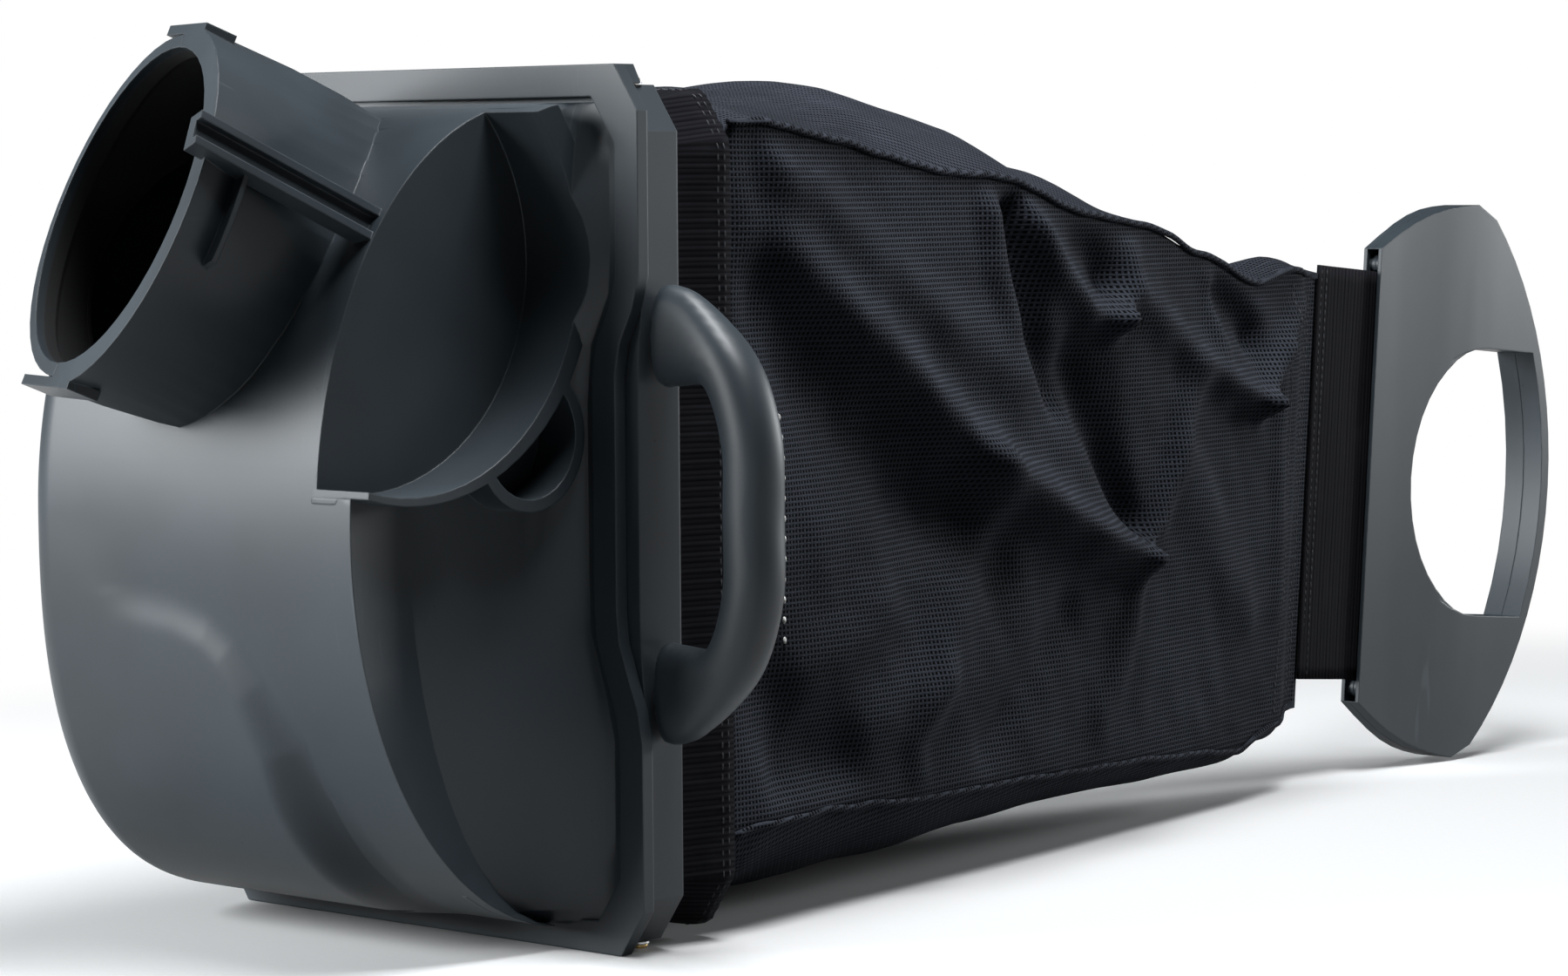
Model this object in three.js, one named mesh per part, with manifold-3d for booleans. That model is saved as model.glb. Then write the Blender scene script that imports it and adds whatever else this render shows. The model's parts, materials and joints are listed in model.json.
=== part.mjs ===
// Mower grass collection bag: a moulded hood with a round inlet spout, a band frame with a carry
// handle, a tapering mesh bag on a woven collar, and a two-shell rear handle on a webbing strap.
// Millimetres. X runs across the bag, with the carry handle on +X. Y runs from the hood (-Y) to the
// rear handle (+Y), and Z is up. The flange's lower edge and the rear handle's lower tip are at Z = 0.
import * as THREE from 'three';
import { mergeVertices } from 'three/addons/utils/BufferGeometryUtils.js';
import Module from 'manifold-3d';

const wasm = await Module();
wasm.setup();

// Clearance between pieces that touch
const SEAT_GAP = 0.3;

// How far a cutting solid runs past the face that it opens
const CUT_OVERRUN = 1;

// Hood flange
const FLANGE_WIDTH = 296;
const FLANGE_MID_X = -7;
const FLANGE_THICKNESS = 3;
const CORNER_RISE = 22;
const CORNER_RUN = 15;
const LIP_DEPTH = 6.5;
const LIP_HEIGHT = 9.2;
const LIP_TAPER = 5;
const RIM_WIDTH = 15;
const RIM_RISE = 4;
const FINGER_RECESS = 16;
const RECESS_MARGIN_TOP = 3;
const RECESS_MARGIN_FOOT = 2;
const RECESS_EASE_TOP = 44;
const RECESS_EASE_FOOT = 58;

// Hood body
const HOOD_DEPTH = 141;
const HOOD_TOP_MARGIN = 17;
const HOOD_FOOT_Z = 11;
const HOOD_FAR_MARGIN = 6;
const HOOD_NEAR_MARGIN = 22;
const HOOD_WALL = 3;
const CAVITY_OVERRUN = 5;
const HOOD_END_SHARE = 0.996;
const HOOD_FAR_ROUND = 25;
const FRONT_EDGE_X = 91;
const STRIP_STEP = 10;
const EDGE_THICKENING = 3;
const STRIP_SHARE = 0.32;
const FAR_FULLNESS = 2.6;
const CREASE_TOP_X = -24;
const CREASE_TOP_Z = 172;
const CREASE_FOOT_X = 38;
const CREASE_FOOT_Z = 45;
const CREASE_WIDTH = 34;

// Round wheel pocket and the small half-round pocket beside it
const POCKET_RADIUS = 106;
const POCKET_Y = -114;
const POCKET_Z = 328;
const POCKET_RIM_RADIUS = 114;
const POCKET_RIM_Y = -111;
const POCKET_RIM_Z = 332;
const POCKET_FLOOR_X = 68;
const POCKET_RIM_X = 103;
const SIDE_POCKET_RADIUS = 29;
const SIDE_POCKET_RIM = 6;
const SIDE_POCKET_Y = -40;
const SIDE_POCKET_Z = 246;
const SIDE_POCKET_FLOOR_X = 78;

// Spout
const SPOUT_NEAR_RADIUS = 91;
const SPOUT_FAR_RADIUS = 86;
const SPOUT_BORE_RADIUS = 79.5;
const SPOUT_TUBE_WALL = 4;
const SPOUT_BEAD = 12;
const SPOUT_BEAD_EASE = 3;
const SPOUT_MOUTH_X = -41;
const SPOUT_MOUTH_Y = -166;
const SPOUT_MOUTH_Z = 356;
const SPOUT_YAW = THREE.MathUtils.degToRad(-19.6);
const SPOUT_PITCH = THREE.MathUtils.degToRad(23);
const SPOUT_LENGTH = 128;
const SPOUT_FAR_SETBACK = 40;
const SPOUT_ROOT_GROWTH = 5;
const SPOUT_ROOT_SHIFT = -55;
const SPOUT_ROOT_RISE = 6;
const EAR_TOP_LENGTH = 24;
const EAR_FOOT_LENGTH = 40;
const EAR_OVERLAP = 24;
const EAR_THICKNESS = 5;
const EAR_DEPTH = 16;

// Guide rail on the spout
const RAIL_LENGTH = 104;
const RAIL_HEIGHT = 17;
const RAIL_DEPTH = 11;
const RAIL_SLOT = 9;
const RAIL_WEB = 3;
const RAIL_ROLL = THREE.MathUtils.degToRad(20);
const RAIL_SINK = 4;
const RAIL_OVERHANG = 10;
const RAIL_RIB_DROP = 48;
const RAIL_TOE = 0.155;
const RAIL_RIB_HEIGHT = 9;
const RAIL_RIB_THICKNESS = 3;
const RAIL_RIB_SETBACK = 20;

// Bag frame
const FRAME_HEIGHT = 406;
const FRAME_DEPTH = 24;
const FRAME_BAND = 6;
const FRAME_INSET = 4;
const FRAME_LIP = 14;
const FRAME_LIP_THICKNESS = 3;
const FRAME_SCOOP = 4;
const FRAME_BOTTOM = 4.5;

// Carry handle
const GRIP_DIAMETER = 28;
const GRIP_STANDOFF = 57;
const HANDLE_TOP_Z = 293;
const HANDLE_BOTTOM_Z = 124;
const HANDLE_ELBOW = 46;
const ROOT_HEIGHT = 50;
const ROOT_WIDTH = 23;

// Collar and the hoop that clamps it
const COLLAR_THICKNESS = 1.6;
const COLLAR_LENGTH = 58;
const COLLAR_INSET = 4;
const COLLAR_PLEAT = 0.8;
const COLLAR_PITCH = 11;
const HOOP_THICKNESS = 3;
const HOOP_DEPTH = 16;

// Frame screws
const SCREW_SHANK = 4;
const SCREW_HEAD = 8.4;
const SCREW_HEAD_HEIGHT = 2.4;
const WASHER_DIAMETER = 10;
const WASHER_THICKNESS = 1;
const SCREW_CORNER_INSET = 18;
const SCREW_HOLE_PLAY = 0.6;
const SCREW_HOLE_REACH = 30;
const SCREW_TIP_SHOWN = 3;
const SCREW_TIP_EASE = 1.5;

// Mesh bag
const BAG_LENGTH = 661;
const BAG_WALL = 2.4;
const BAG_LAP = 14;
const BAG_END_THICKNESS = 17;
const BAG_END_HEIGHT = 262;
const BAG_END_Z = 176;
const PIPING = 4;

// Rear strap and handle
const REAR_X = 7;
const REAR_LEAN = THREE.MathUtils.degToRad(5);
const STRAP_HEIGHT = 250;
const STRAP_THICKNESS = 3;
const STRAP_SHOWN = 57;
const STRAP_TUCK = 22;
const STRAP_ROD = 5;
const REAR_MOUTH_HEIGHT = 278;
const REAR_TIP_REACH = 103;
const REAR_TIP_HEIGHT = 348;
const REAR_DEPTH = 188;
const REAR_EDGE_CROWN = 7;
const REAR_MOUTH_THICKNESS = 13;
const REAR_GRIP_THICKNESS = 27;
const REAR_WALL = 2.4;
const REAR_TIP_ROUND = 9;
const HOLE_HEIGHT = 168;
const HOLE_ARC_Y = 113;
const HOLE_ARC_REACH = 72;
const GRIP_BAR = 8;
const HOLE_DISH = 12;
const HOLE_DISH_DEPTH = 2;
const REAR_SCREW_HEAD = 7;
const REAR_SCREW_SHANK = 3;
const REAR_SCREW_SINK = 3;
const REAR_SCREW_SET_IN = 0.4;
const REAR_SCREW_CROWN = 0.6;
const MOUTH_SCREW_INSET = 9;
const TIP_SCREW_INSET = 8;
const TIP_SCREW_DROP = 24;
const STRAP_POCKET_PLAY = 1;
const STRAP_GROOVE_PLAY = 2;

// Colours, roughness and metalness of the finishes
const HOOD_PLASTIC = { color: 0x3c434a, roughness: 0.45, metalness: 0 };
const MESH_FABRIC = { color: 0x0e0f12, roughness: 0.85, metalness: 0 };
const WEBBING = { color: 0x0a0a0c, roughness: 0.9, metalness: 0 };
const BRASS = { color: 0xb08a45, roughness: 0.3, metalness: 1 };
const STEEL = { color: 0x9a9da0, roughness: 0.35, metalness: 1 };

// Values worked out from the driving dimensions
const FLANGE_HALF_X = FLANGE_WIDTH / 2;
const FLANGE_NEAR_X = FLANGE_MID_X + FLANGE_HALF_X;
const FLANGE_FAR_X = FLANGE_MID_X - FLANGE_HALF_X;
const FRONT_Y = -FLANGE_THICKNESS;
const LIP_BOTTOM_Z = FRAME_BOTTOM + FRAME_HEIGHT + SEAT_GAP;
const FLANGE_HEIGHT = LIP_BOTTOM_Z + LIP_HEIGHT;
const HOOD_TOP_Z = FLANGE_HEIGHT - HOOD_TOP_MARGIN;
const HOOD_MID_Z = (HOOD_TOP_Z + HOOD_FOOT_Z) / 2;
const HOOD_HALF_HEIGHT = (HOOD_TOP_Z - HOOD_FOOT_Z) / 2;
const HOOD_FAR_X = FLANGE_FAR_X + HOOD_FAR_MARGIN;
const HOOD_ROOT_X = FLANGE_NEAR_X - HOOD_NEAR_MARGIN;
const FRAME_HALF_X = FLANGE_HALF_X - FRAME_INSET;
const FRAME_NEAR_X = FLANGE_MID_X + FRAME_HALF_X;
const RECESS_TOP_Z = HANDLE_TOP_Z + ROOT_HEIGHT / 2 + RECESS_MARGIN_TOP;
const RECESS_BOTTOM_Z = HANDLE_BOTTOM_Z - ROOT_HEIGHT / 2 + RECESS_MARGIN_FOOT;
const FRAME_FRONT_Y = SEAT_GAP;
const FRAME_REAR_Y = FRAME_FRONT_Y + FRAME_DEPTH;
const FRAME_MID_Z = FRAME_BOTTOM + FRAME_HEIGHT / 2;
const COLLAR_HALF_X = FRAME_HALF_X - FRAME_BAND - SEAT_GAP;
const COLLAR_HALF_Z = FRAME_HEIGHT / 2 - FRAME_BAND - SEAT_GAP;
const COLLAR_FRONT_Y = FRAME_FRONT_Y + COLLAR_INSET;
const COLLAR_REAR_Y = COLLAR_FRONT_Y + COLLAR_LENGTH;
const BAG_FRONT_Y = COLLAR_REAR_Y - BAG_LAP;
const BAG_END_Y = BAG_FRONT_Y + BAG_LENGTH;
const LAP_SHARE = BAG_LAP / BAG_LENGTH;
const BAG_HALF_X = COLLAR_HALF_X - COLLAR_THICKNESS - COLLAR_PLEAT - SEAT_GAP;
const BAG_HALF_Z = COLLAR_HALF_Z - COLLAR_THICKNESS - COLLAR_PLEAT - SEAT_GAP;
const REAR_MOUTH_Y = BAG_END_Y + SEAT_GAP + STRAP_SHOWN;
const REAR_ORIGIN_Z = REAR_TIP_REACH * Math.sin(REAR_LEAN) + (REAR_TIP_HEIGHT / 2) * Math.cos(REAR_LEAN);
const SPOUT_MOUTH = new THREE.Vector3(SPOUT_MOUTH_X, SPOUT_MOUTH_Y, SPOUT_MOUTH_Z);
const SPOUT_AXIS = new THREE.Vector3(
  Math.sin(SPOUT_YAW) * Math.cos(SPOUT_PITCH),
  -Math.cos(SPOUT_YAW) * Math.cos(SPOUT_PITCH),
  Math.sin(SPOUT_PITCH),
);

const clamp = THREE.MathUtils.clamp;
const lerp = THREE.MathUtils.lerp;
const smooth = THREE.MathUtils.smoothstep;
const object = new THREE.Group();

// A closed indexed geometry whose faces point out
function closedGeometry(vertices, triangles) {
  let volume = 0;
  for (const [a, b, c] of triangles) {
    volume += vertices[a].clone().cross(vertices[b]).dot(vertices[c]);
  }
  const index = triangles.flatMap(([a, b, c]) => (volume < 0 ? [a, c, b] : [a, b, c]));
  const geometry = new THREE.BufferGeometry();
  geometry.setAttribute('position', new THREE.Float32BufferAttribute(vertices.flatMap((v) => v.toArray()), 3));
  geometry.setIndex(index);
  return geometry;
}

// Triangles of the band between two rings of `count` points that start at `a` and `b`
function band(a, b, count) {
  const triangles = [];
  for (let i = 0; i < count; i += 1) {
    const j = (i + 1) % count;
    triangles.push([a + i, a + j, b + j], [a + i, b + j, b + i]);
  }
  return triangles;
}

// Cap of a ring that starts at `start`: earcut where it uses every point, else a fan about the middle
function cap(vertices, ring, start, flat) {
  const faces = THREE.ShapeUtils.triangulateShape(ring.map(flat), []);
  if (faces.length === ring.length - 2) {
    return faces.map((face) => face.map((i) => start + i));
  }
  const middle = ring.reduce((sum, v) => sum.add(v), new THREE.Vector3()).divideScalar(ring.length);
  vertices.push(middle);
  const hub = vertices.length - 1;
  return ring.map((_, i) => [start + i, start + ((i + 1) % ring.length), hub]);
}

// Solid through a row of rings with equal point counts, capped at both ends
function loft(rings, flat) {
  const count = rings[0].length;
  const last = (rings.length - 1) * count;
  const vertices = rings.flat();
  const side = [];
  for (let i = 0; i < rings.length - 1; i += 1) {
    side.push(...band(i * count, (i + 1) * count, count));
  }
  const start = cap(vertices, rings[0], 0, flat);
  const end = cap(vertices, rings[rings.length - 1], last, flat);
  return closedGeometry(vertices, joinCaps(side, start, end));
}

// Turns the caps so that each runs along its shared edges against the side band
function joinCaps(side, start, end) {
  const edges = new Set(side.flatMap(([a, b, c]) => [`${a},${b}`, `${b},${c}`, `${c},${a}`]));
  const fit = (triangles) => {
    const clash = triangles.some(([a, b, c]) => (
      edges.has(`${a},${b}`) || edges.has(`${b},${c}`) || edges.has(`${c},${a}`)));
    return clash ? triangles.map(([a, b, c]) => [a, c, b]) : triangles;
  };
  return [...side, ...fit(start), ...fit(end)];
}

const FLAT = {
  x: (v) => new THREE.Vector2(v.y, v.z),
  y: (v) => new THREE.Vector2(v.x, v.z),
  z: (v) => new THREE.Vector2(v.x, v.y),
};

// Prism of an outline: [y, z] pairs along x, [x, z] pairs along y or [x, y] pairs along z
function prism(outline, axis, from, to) {
  const point = {
    x: (p, t) => new THREE.Vector3(t, p[0], p[1]),
    y: (p, t) => new THREE.Vector3(p[0], t, p[1]),
    z: (p, t) => new THREE.Vector3(p[0], p[1], t),
  }[axis];
  return loft([from, to].map((t) => outline.map((p) => point(p, t))), FLAT[axis]);
}

function circle(centreA, centreB, radius, steps) {
  return Array.from({ length: steps }, (_, i) => {
    const angle = (i / steps) * 2 * Math.PI;
    return [centreA + radius * Math.cos(angle), centreB + radius * Math.sin(angle)];
  });
}

function solidOf(geometry) {
  const bare = geometry.clone();
  bare.deleteAttribute('normal');
  bare.deleteAttribute('uv');
  const merged = mergeVertices(bare, 1e-4);
  return new wasm.Manifold(new wasm.Mesh({
    numProp: 3,
    vertProperties: new Float32Array(merged.attributes.position.array),
    triVerts: new Uint32Array(merged.index.array),
  }));
}

function geometryOf(solid) {
  const mesh = solid.getMesh();
  const geometry = new THREE.BufferGeometry();
  geometry.setAttribute('position', new THREE.Float32BufferAttribute(mesh.vertProperties, 3));
  geometry.setIndex(Array.from(mesh.triVerts));
  return geometry;
}

function addPiece(name, geometry, finish) {
  const shape = geometry.index ? geometry.toNonIndexed() : geometry;
  shape.computeVertexNormals();
  const piece = new THREE.Mesh(shape, new THREE.MeshStandardMaterial(finish));
  piece.name = name;
  object.add(piece);
  return piece;
}

// Rectangle with four cut corners about the flange's middle, as [x, z] pairs
function cutRectangle(halfX, midZ, halfZ, run, rise) {
  const near = FLANGE_MID_X + halfX;
  const far = FLANGE_MID_X - halfX;
  return [
    [near - run, midZ - halfZ], [near, midZ - halfZ + rise],
    [near, midZ + halfZ - rise], [near - run, midZ + halfZ],
    [far + run, midZ + halfZ], [far, midZ + halfZ - rise],
    [far, midZ - halfZ + rise], [far + run, midZ - halfZ],
  ];
}

// How far the flange's near edge is set in beside the carry handle
function fingerRecess(z) {
  const below = smooth(z, RECESS_BOTTOM_Z, RECESS_BOTTOM_Z + RECESS_EASE_FOOT);
  const above = 1 - smooth(z, RECESS_TOP_Z - RECESS_EASE_TOP, RECESS_TOP_Z);
  return FINGER_RECESS * Math.min(below, above);
}

// Depth of the hood's front in front of the flange
function hoodDepth(x, z, inset) {
  const height = clamp((z - HOOD_MID_Z) / (HOOD_HALF_HEIGHT - inset), -1, 1);
  const depth = HOOD_DEPTH - inset;
  const near = depth * Math.sqrt(1 - height * height);
  if (height > 0) return near;
  const full = depth * (1 - Math.abs(height) ** FAR_FULLNESS) ** (1 / FAR_FULLNESS);
  const fall = clamp((CREASE_TOP_Z - z) / (CREASE_TOP_Z - CREASE_FOOT_Z), 0, 1);
  const crease = lerp(CREASE_TOP_X, CREASE_FOOT_X, Math.sin((fall * Math.PI) / 2));
  return lerp(full, near, smooth(x, crease - CREASE_WIDTH, crease));
}

// Level section of the hood, from the back far corner round the front to the back near corner
function hoodRing(z, inset, backY) {
  const ring = [];
  const far = HOOD_FAR_X + inset;
  const farDepth = hoodDepth(far, z, inset);
  const round = Math.min(HOOD_FAR_ROUND, farDepth * 0.9);
  const cornerSteps = 4;
  const frontSteps = 12;
  ring.push(new THREE.Vector3(far, backY, z));
  for (let i = 0; i < cornerSteps; i += 1) {
    const angle = (Math.PI / 2) * (1 - i / cornerSteps);
    const x = far + HOOD_FAR_ROUND * (1 - Math.sin(angle));
    ring.push(new THREE.Vector3(x, FRONT_Y - farDepth + round * (1 - Math.cos(angle)), z));
  }
  const start = far + HOOD_FAR_ROUND;
  const edge = FRONT_EDGE_X - EDGE_THICKENING * inset;
  for (let i = 0; i <= frontSteps; i += 1) {
    const x = lerp(start, edge, i / frontSteps);
    ring.push(new THREE.Vector3(x, FRONT_Y - hoodDepth(x, z, inset), z));
  }
  const foot = (1 - STRIP_SHARE) * hoodDepth(edge, z, inset);
  const root = HOOD_ROOT_X - inset - fingerRecess(z);
  const stripX = FRONT_EDGE_X - STRIP_STEP - inset;
  for (const share of [0, 0.25, 0.5, 0.7, 0.85, 0.95, 1]) {
    const flare = 0.45 * share + 0.55 * share ** 6;
    const x = lerp(stripX, root, flare);
    ring.push(new THREE.Vector3(x, FRONT_Y - foot * (1 - share), z));
  }
  ring.push(new THREE.Vector3(root, backY, z));
  return ring;
}

function hoodBody(inset, backY) {
  const levels = 22;
  const rings = [];
  for (let i = 0; i <= levels; i += 1) {
    const share = HOOD_END_SHARE * Math.cos(Math.PI * (1 - i / levels));
    rings.push(hoodRing(HOOD_MID_Z + (HOOD_HALF_HEIGHT - inset) * share, inset, backY));
  }
  return solidOf(loft(rings, FLAT.z));
}

// Outline of the flange set in by `inset`, with the finger recess on its near edge
function flangeOutline(inset) {
  const recess = [];
  const steps = 14;
  const near = FLANGE_NEAR_X - inset;
  for (let i = 0; i <= steps; i += 1) {
    const z = lerp(RECESS_BOTTOM_Z, RECESS_TOP_Z, i / steps);
    recess.push([near - fingerRecess(z), z]);
  }
  const rect = cutRectangle(FLANGE_HALF_X - inset, FLANGE_HEIGHT / 2, FLANGE_HEIGHT / 2 - inset,
    CORNER_RUN, CORNER_RISE);
  return [...rect.slice(0, 2), ...recess, ...rect.slice(2)];
}

// Flat flange with a raised rim in front and a lip that reaches back over the bag frame
function flangePlate() {
  const plate = solidOf(prism(flangeOutline(0), 'y', FRONT_Y, 0));
  const rim = tubeSolid(flangeOutline(0), flangeOutline(RIM_WIDTH), FRONT_Y - RIM_RISE, FRONT_Y / 2);
  const nearX = FLANGE_NEAR_X - CORNER_RUN;
  const farX = FLANGE_FAR_X + CORNER_RUN;
  const lip = solidOf(prism([
    [nearX, FLANGE_HEIGHT], [farX, FLANGE_HEIGHT],
    [farX - LIP_TAPER, LIP_BOTTOM_Z], [nearX + LIP_TAPER, LIP_BOTTOM_Z],
  ], 'y', FRONT_Y, LIP_DEPTH));
  return plate.add(rim).add(lip);
}

// Frame of the spout's mouth: right lies level in the mouth's plane, up is across it
function spoutBasis() {
  const right = new THREE.Vector3().crossVectors(SPOUT_AXIS, new THREE.Vector3(0, 0, 1)).normalize().negate();
  const up = new THREE.Vector3().crossVectors(SPOUT_AXIS, right).normalize();
  return { right, up };
}

// Ring of the spout at a distance behind its mouth
function spoutRing(back, radius, steps) {
  const { right, up } = spoutBasis();
  const centre = SPOUT_MOUTH.clone().addScaledVector(SPOUT_AXIS, -back)
    .addScaledVector(right, (SPOUT_ROOT_SHIFT * Math.max(back, 0)) / SPOUT_LENGTH)
    .addScaledVector(up, (SPOUT_ROOT_RISE * Math.max(back, 0)) / SPOUT_LENGTH);
  return Array.from({ length: steps }, (_, i) => {
    const angle = (i / steps) * 2 * Math.PI;
    return centre.clone().addScaledVector(right, radius * Math.cos(angle))
      .addScaledVector(up, radius * Math.sin(angle));
  });
}

function spoutFlat(v) {
  const { right, up } = spoutBasis();
  return new THREE.Vector2(v.dot(right), v.dot(up));
}

// Conical tube solid between two distances behind the mouth
function spoutSolid(stops, steps = 48) {
  return solidOf(loft(stops.map(([back, radius]) => spoutRing(back, radius, steps)), spoutFlat));
}

// Radius at a distance behind the mouth of a surface that has `mouth` as its radius there
function spoutRadiusAt(back, mouth) {
  return mouth + SPOUT_ROOT_GROWTH * clamp(back / SPOUT_LENGTH, 0, 1);
}

// Block in the mouth's own frame: spans along right, along up and behind the mouth, turned by `roll`
// about the spout's axis and drawn in by `toe` for each millimetre behind the mouth
function spoutBlock([r0, r1], [u0, u1], [b0, b1], roll = 0, toe = 0) {
  const { right, up } = spoutBasis();
  const across = right.clone().multiplyScalar(Math.cos(roll)).addScaledVector(up, Math.sin(roll));
  const over = up.clone().multiplyScalar(Math.cos(roll)).addScaledVector(right, -Math.sin(roll));
  const ring = (back) => [[r0, u0], [r1, u0], [r1, u1], [r0, u1]].map(([r, u]) => (
    SPOUT_MOUTH.clone().addScaledVector(across, r - toe * back).addScaledVector(over, u)
      .addScaledVector(SPOUT_AXIS, -back)));
  return solidOf(loft([ring(b0), ring(b1)], spoutFlat));
}

function spoutBore() {
  const tube = (back) => spoutRadiusAt(back, SPOUT_FAR_RADIUS - SPOUT_TUBE_WALL);
  const end = SPOUT_LENGTH - SPOUT_TUBE_WALL;
  return spoutSolid([
    [-CAVITY_OVERRUN, SPOUT_BORE_RADIUS], [SPOUT_BEAD, SPOUT_BORE_RADIUS],
    [SPOUT_BEAD + SPOUT_BEAD_EASE, tube(SPOUT_BEAD)], [end, tube(end)],
  ]);
}

// Everything on the far side of the spout's split plane, moved by `shift` towards the near side
function spoutFarHalf(shift) {
  const reach = 2 * SPOUT_NEAR_RADIUS;
  return spoutBlock([-reach, shift], [-reach, reach], [-reach, reach]);
}

// Overlap tabs of the near half, tangent to the far half's outside at both ends of the split
function spoutEars() {
  const seat = SPOUT_FAR_RADIUS + SEAT_GAP;
  const top = spoutBlock([-EAR_TOP_LENGTH, EAR_OVERLAP], [seat, seat + EAR_THICKNESS], [0, EAR_DEPTH]);
  const foot = spoutBlock([-EAR_FOOT_LENGTH, EAR_OVERLAP], [-seat - EAR_THICKNESS, -seat], [0, EAR_DEPTH]);
  return top.add(foot);
}

// Guide rail with an open C section, and the curved rib below it
function spoutRail() {
  const seat = SPOUT_NEAR_RADIUS - RAIL_SINK;
  const half = RAIL_HEIGHT / 2;
  const slot = RAIL_SLOT / 2;
  const ends = [-RAIL_OVERHANG, RAIL_LENGTH - RAIL_OVERHANG];
  const body = spoutBlock([seat, seat + RAIL_DEPTH], [-half, half], ends, RAIL_ROLL, RAIL_TOE);
  const channel = spoutBlock(
    [seat + RAIL_SINK + RAIL_WEB, seat + 2 * RAIL_DEPTH], [-slot, slot],
    [ends[0] - CUT_OVERRUN, ends[1] + CUT_OVERRUN], RAIL_ROLL, RAIL_TOE);
  const ribRadius = SPOUT_NEAR_RADIUS + RAIL_RIB_HEIGHT;
  const rib = spoutSolid([
    [RAIL_RIB_SETBACK, ribRadius], [RAIL_RIB_SETBACK + RAIL_RIB_THICKNESS, ribRadius],
  ]).intersect(spoutBlock([seat / 2, 2 * seat], [-RAIL_RIB_DROP, 0], [-ends[1], ends[1]], RAIL_ROLL));
  return body.add(rib).subtract(channel);
}

// Disc-shaped solid of a wheel pocket's inside or rim, between two levels of x
function pocketDisc(radius, from, to) {
  return solidOf(prism(circle(POCKET_Y, POCKET_Z, radius, 64), 'x', from, to));
}

function pocketRimDisc(from, to) {
  return solidOf(prism(circle(POCKET_RIM_Y, POCKET_RIM_Z, POCKET_RIM_RADIUS, 64), 'x', from, to));
}

function sidePocketDisc(radius, from, to) {
  return solidOf(prism(circle(SIDE_POCKET_Y, SIDE_POCKET_Z, radius, 32), 'x', from, to));
}

// Raised rims and the floors of the two pockets on the near side
function pocketRims() {
  const rim = pocketRimDisc(POCKET_FLOOR_X - HOOD_WALL, POCKET_RIM_X);
  const sideRim = sidePocketDisc(SIDE_POCKET_RADIUS + SIDE_POCKET_RIM, SIDE_POCKET_FLOOR_X - HOOD_WALL, POCKET_RIM_X);
  return rim.add(sideRim).intersect(hoodExtrusion(0));
}

// The hood's side outline carried straight across, which bounds the pockets' rims
function hoodExtrusion(inset) {
  const outline = [];
  const steps = 40;
  for (let i = 0; i <= steps; i += 1) {
    const angle = Math.PI * (i / steps);
    outline.push([
      FRONT_Y - (HOOD_DEPTH - inset) * Math.sin(angle),
      HOOD_MID_Z + (HOOD_HALF_HEIGHT - inset) * Math.cos(angle),
    ]);
  }
  return solidOf(prism(outline, 'x', FLANGE_FAR_X, FLANGE_NEAR_X));
}

function pocketCuts() {
  const side = sidePocketDisc(SIDE_POCKET_RADIUS, SIDE_POCKET_FLOOR_X, FLANGE_NEAR_X);
  return pocketDisc(POCKET_RADIUS, POCKET_FLOOR_X, FLANGE_NEAR_X).add(side.subtract(pocketRimDisc(0, FLANGE_NEAR_X)));
}

// Cavity of the hood, kept clear of the pockets' floors and rims
function hoodCavity() {
  const near = FLANGE_NEAR_X + CUT_OVERRUN;
  const keep = pocketDisc(POCKET_RADIUS + HOOD_WALL, POCKET_FLOOR_X - HOOD_WALL, near);
  const keepSide = sidePocketDisc(SIDE_POCKET_RADIUS + HOOD_WALL, SIDE_POCKET_FLOOR_X - HOOD_WALL, near);
  return hoodBody(HOOD_WALL, CAVITY_OVERRUN).subtract(keep).subtract(keepSide);
}

function makeHood() {
  const cavity = hoodCavity();
  const tube = spoutSolid([
    [0, SPOUT_NEAR_RADIUS], [SPOUT_LENGTH, spoutRadiusAt(SPOUT_LENGTH, SPOUT_NEAR_RADIUS)]]);
  const nearHalf = tube.subtract(spoutFarHalf(SEAT_GAP / 2)).add(spoutEars().subtract(farHalfOutside(SEAT_GAP)))
    .add(spoutRail()).subtract(cavity);
  const body = hoodBody(0, 0).add(pocketRims()).subtract(cavity).subtract(pocketCuts());
  const plate = flangePlate().subtract(hoodBody(HOOD_WALL, CAVITY_OVERRUN));
  return addPiece('hood', geometryOf(body.add(nearHalf).add(plate).subtract(spoutBore())), HOOD_PLASTIC);
}

// Outside of the spout's far half, grown by `grow`
function farHalfOutside(grow) {
  const end = SPOUT_LENGTH - SPOUT_FAR_SETBACK;
  return spoutSolid([[-grow, SPOUT_FAR_RADIUS + grow], [end + grow, spoutRadiusAt(end, SPOUT_FAR_RADIUS) + grow]])
    .intersect(spoutFarHalf(grow));
}

// The spout's far half, which laps inside the near half's ears and sits on the hood's front
function makeSpoutHalf() {
  const half = farHalfOutside(0).subtract(spoutBore()).intersect(spoutFarHalf(-SEAT_GAP / 2))
    .subtract(hoodBody(-SEAT_GAP, 0));
  return addPiece('spout_half_shell', geometryOf(half), HOOD_PLASTIC);
}

function screwPlaces() {
  const top = FRAME_BOTTOM + FRAME_HEIGHT;
  const nearX = FRAME_NEAR_X - SCREW_CORNER_INSET;
  const farX = 2 * FLANGE_MID_X - nearX;
  return [
    ['near_top', nearX, top, 1], ['far_top', farX, top, 1],
    ['near_bottom', nearX, FRAME_BOTTOM, -1], ['far_bottom', farX, FRAME_BOTTOM, -1],
  ];
}

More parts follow.
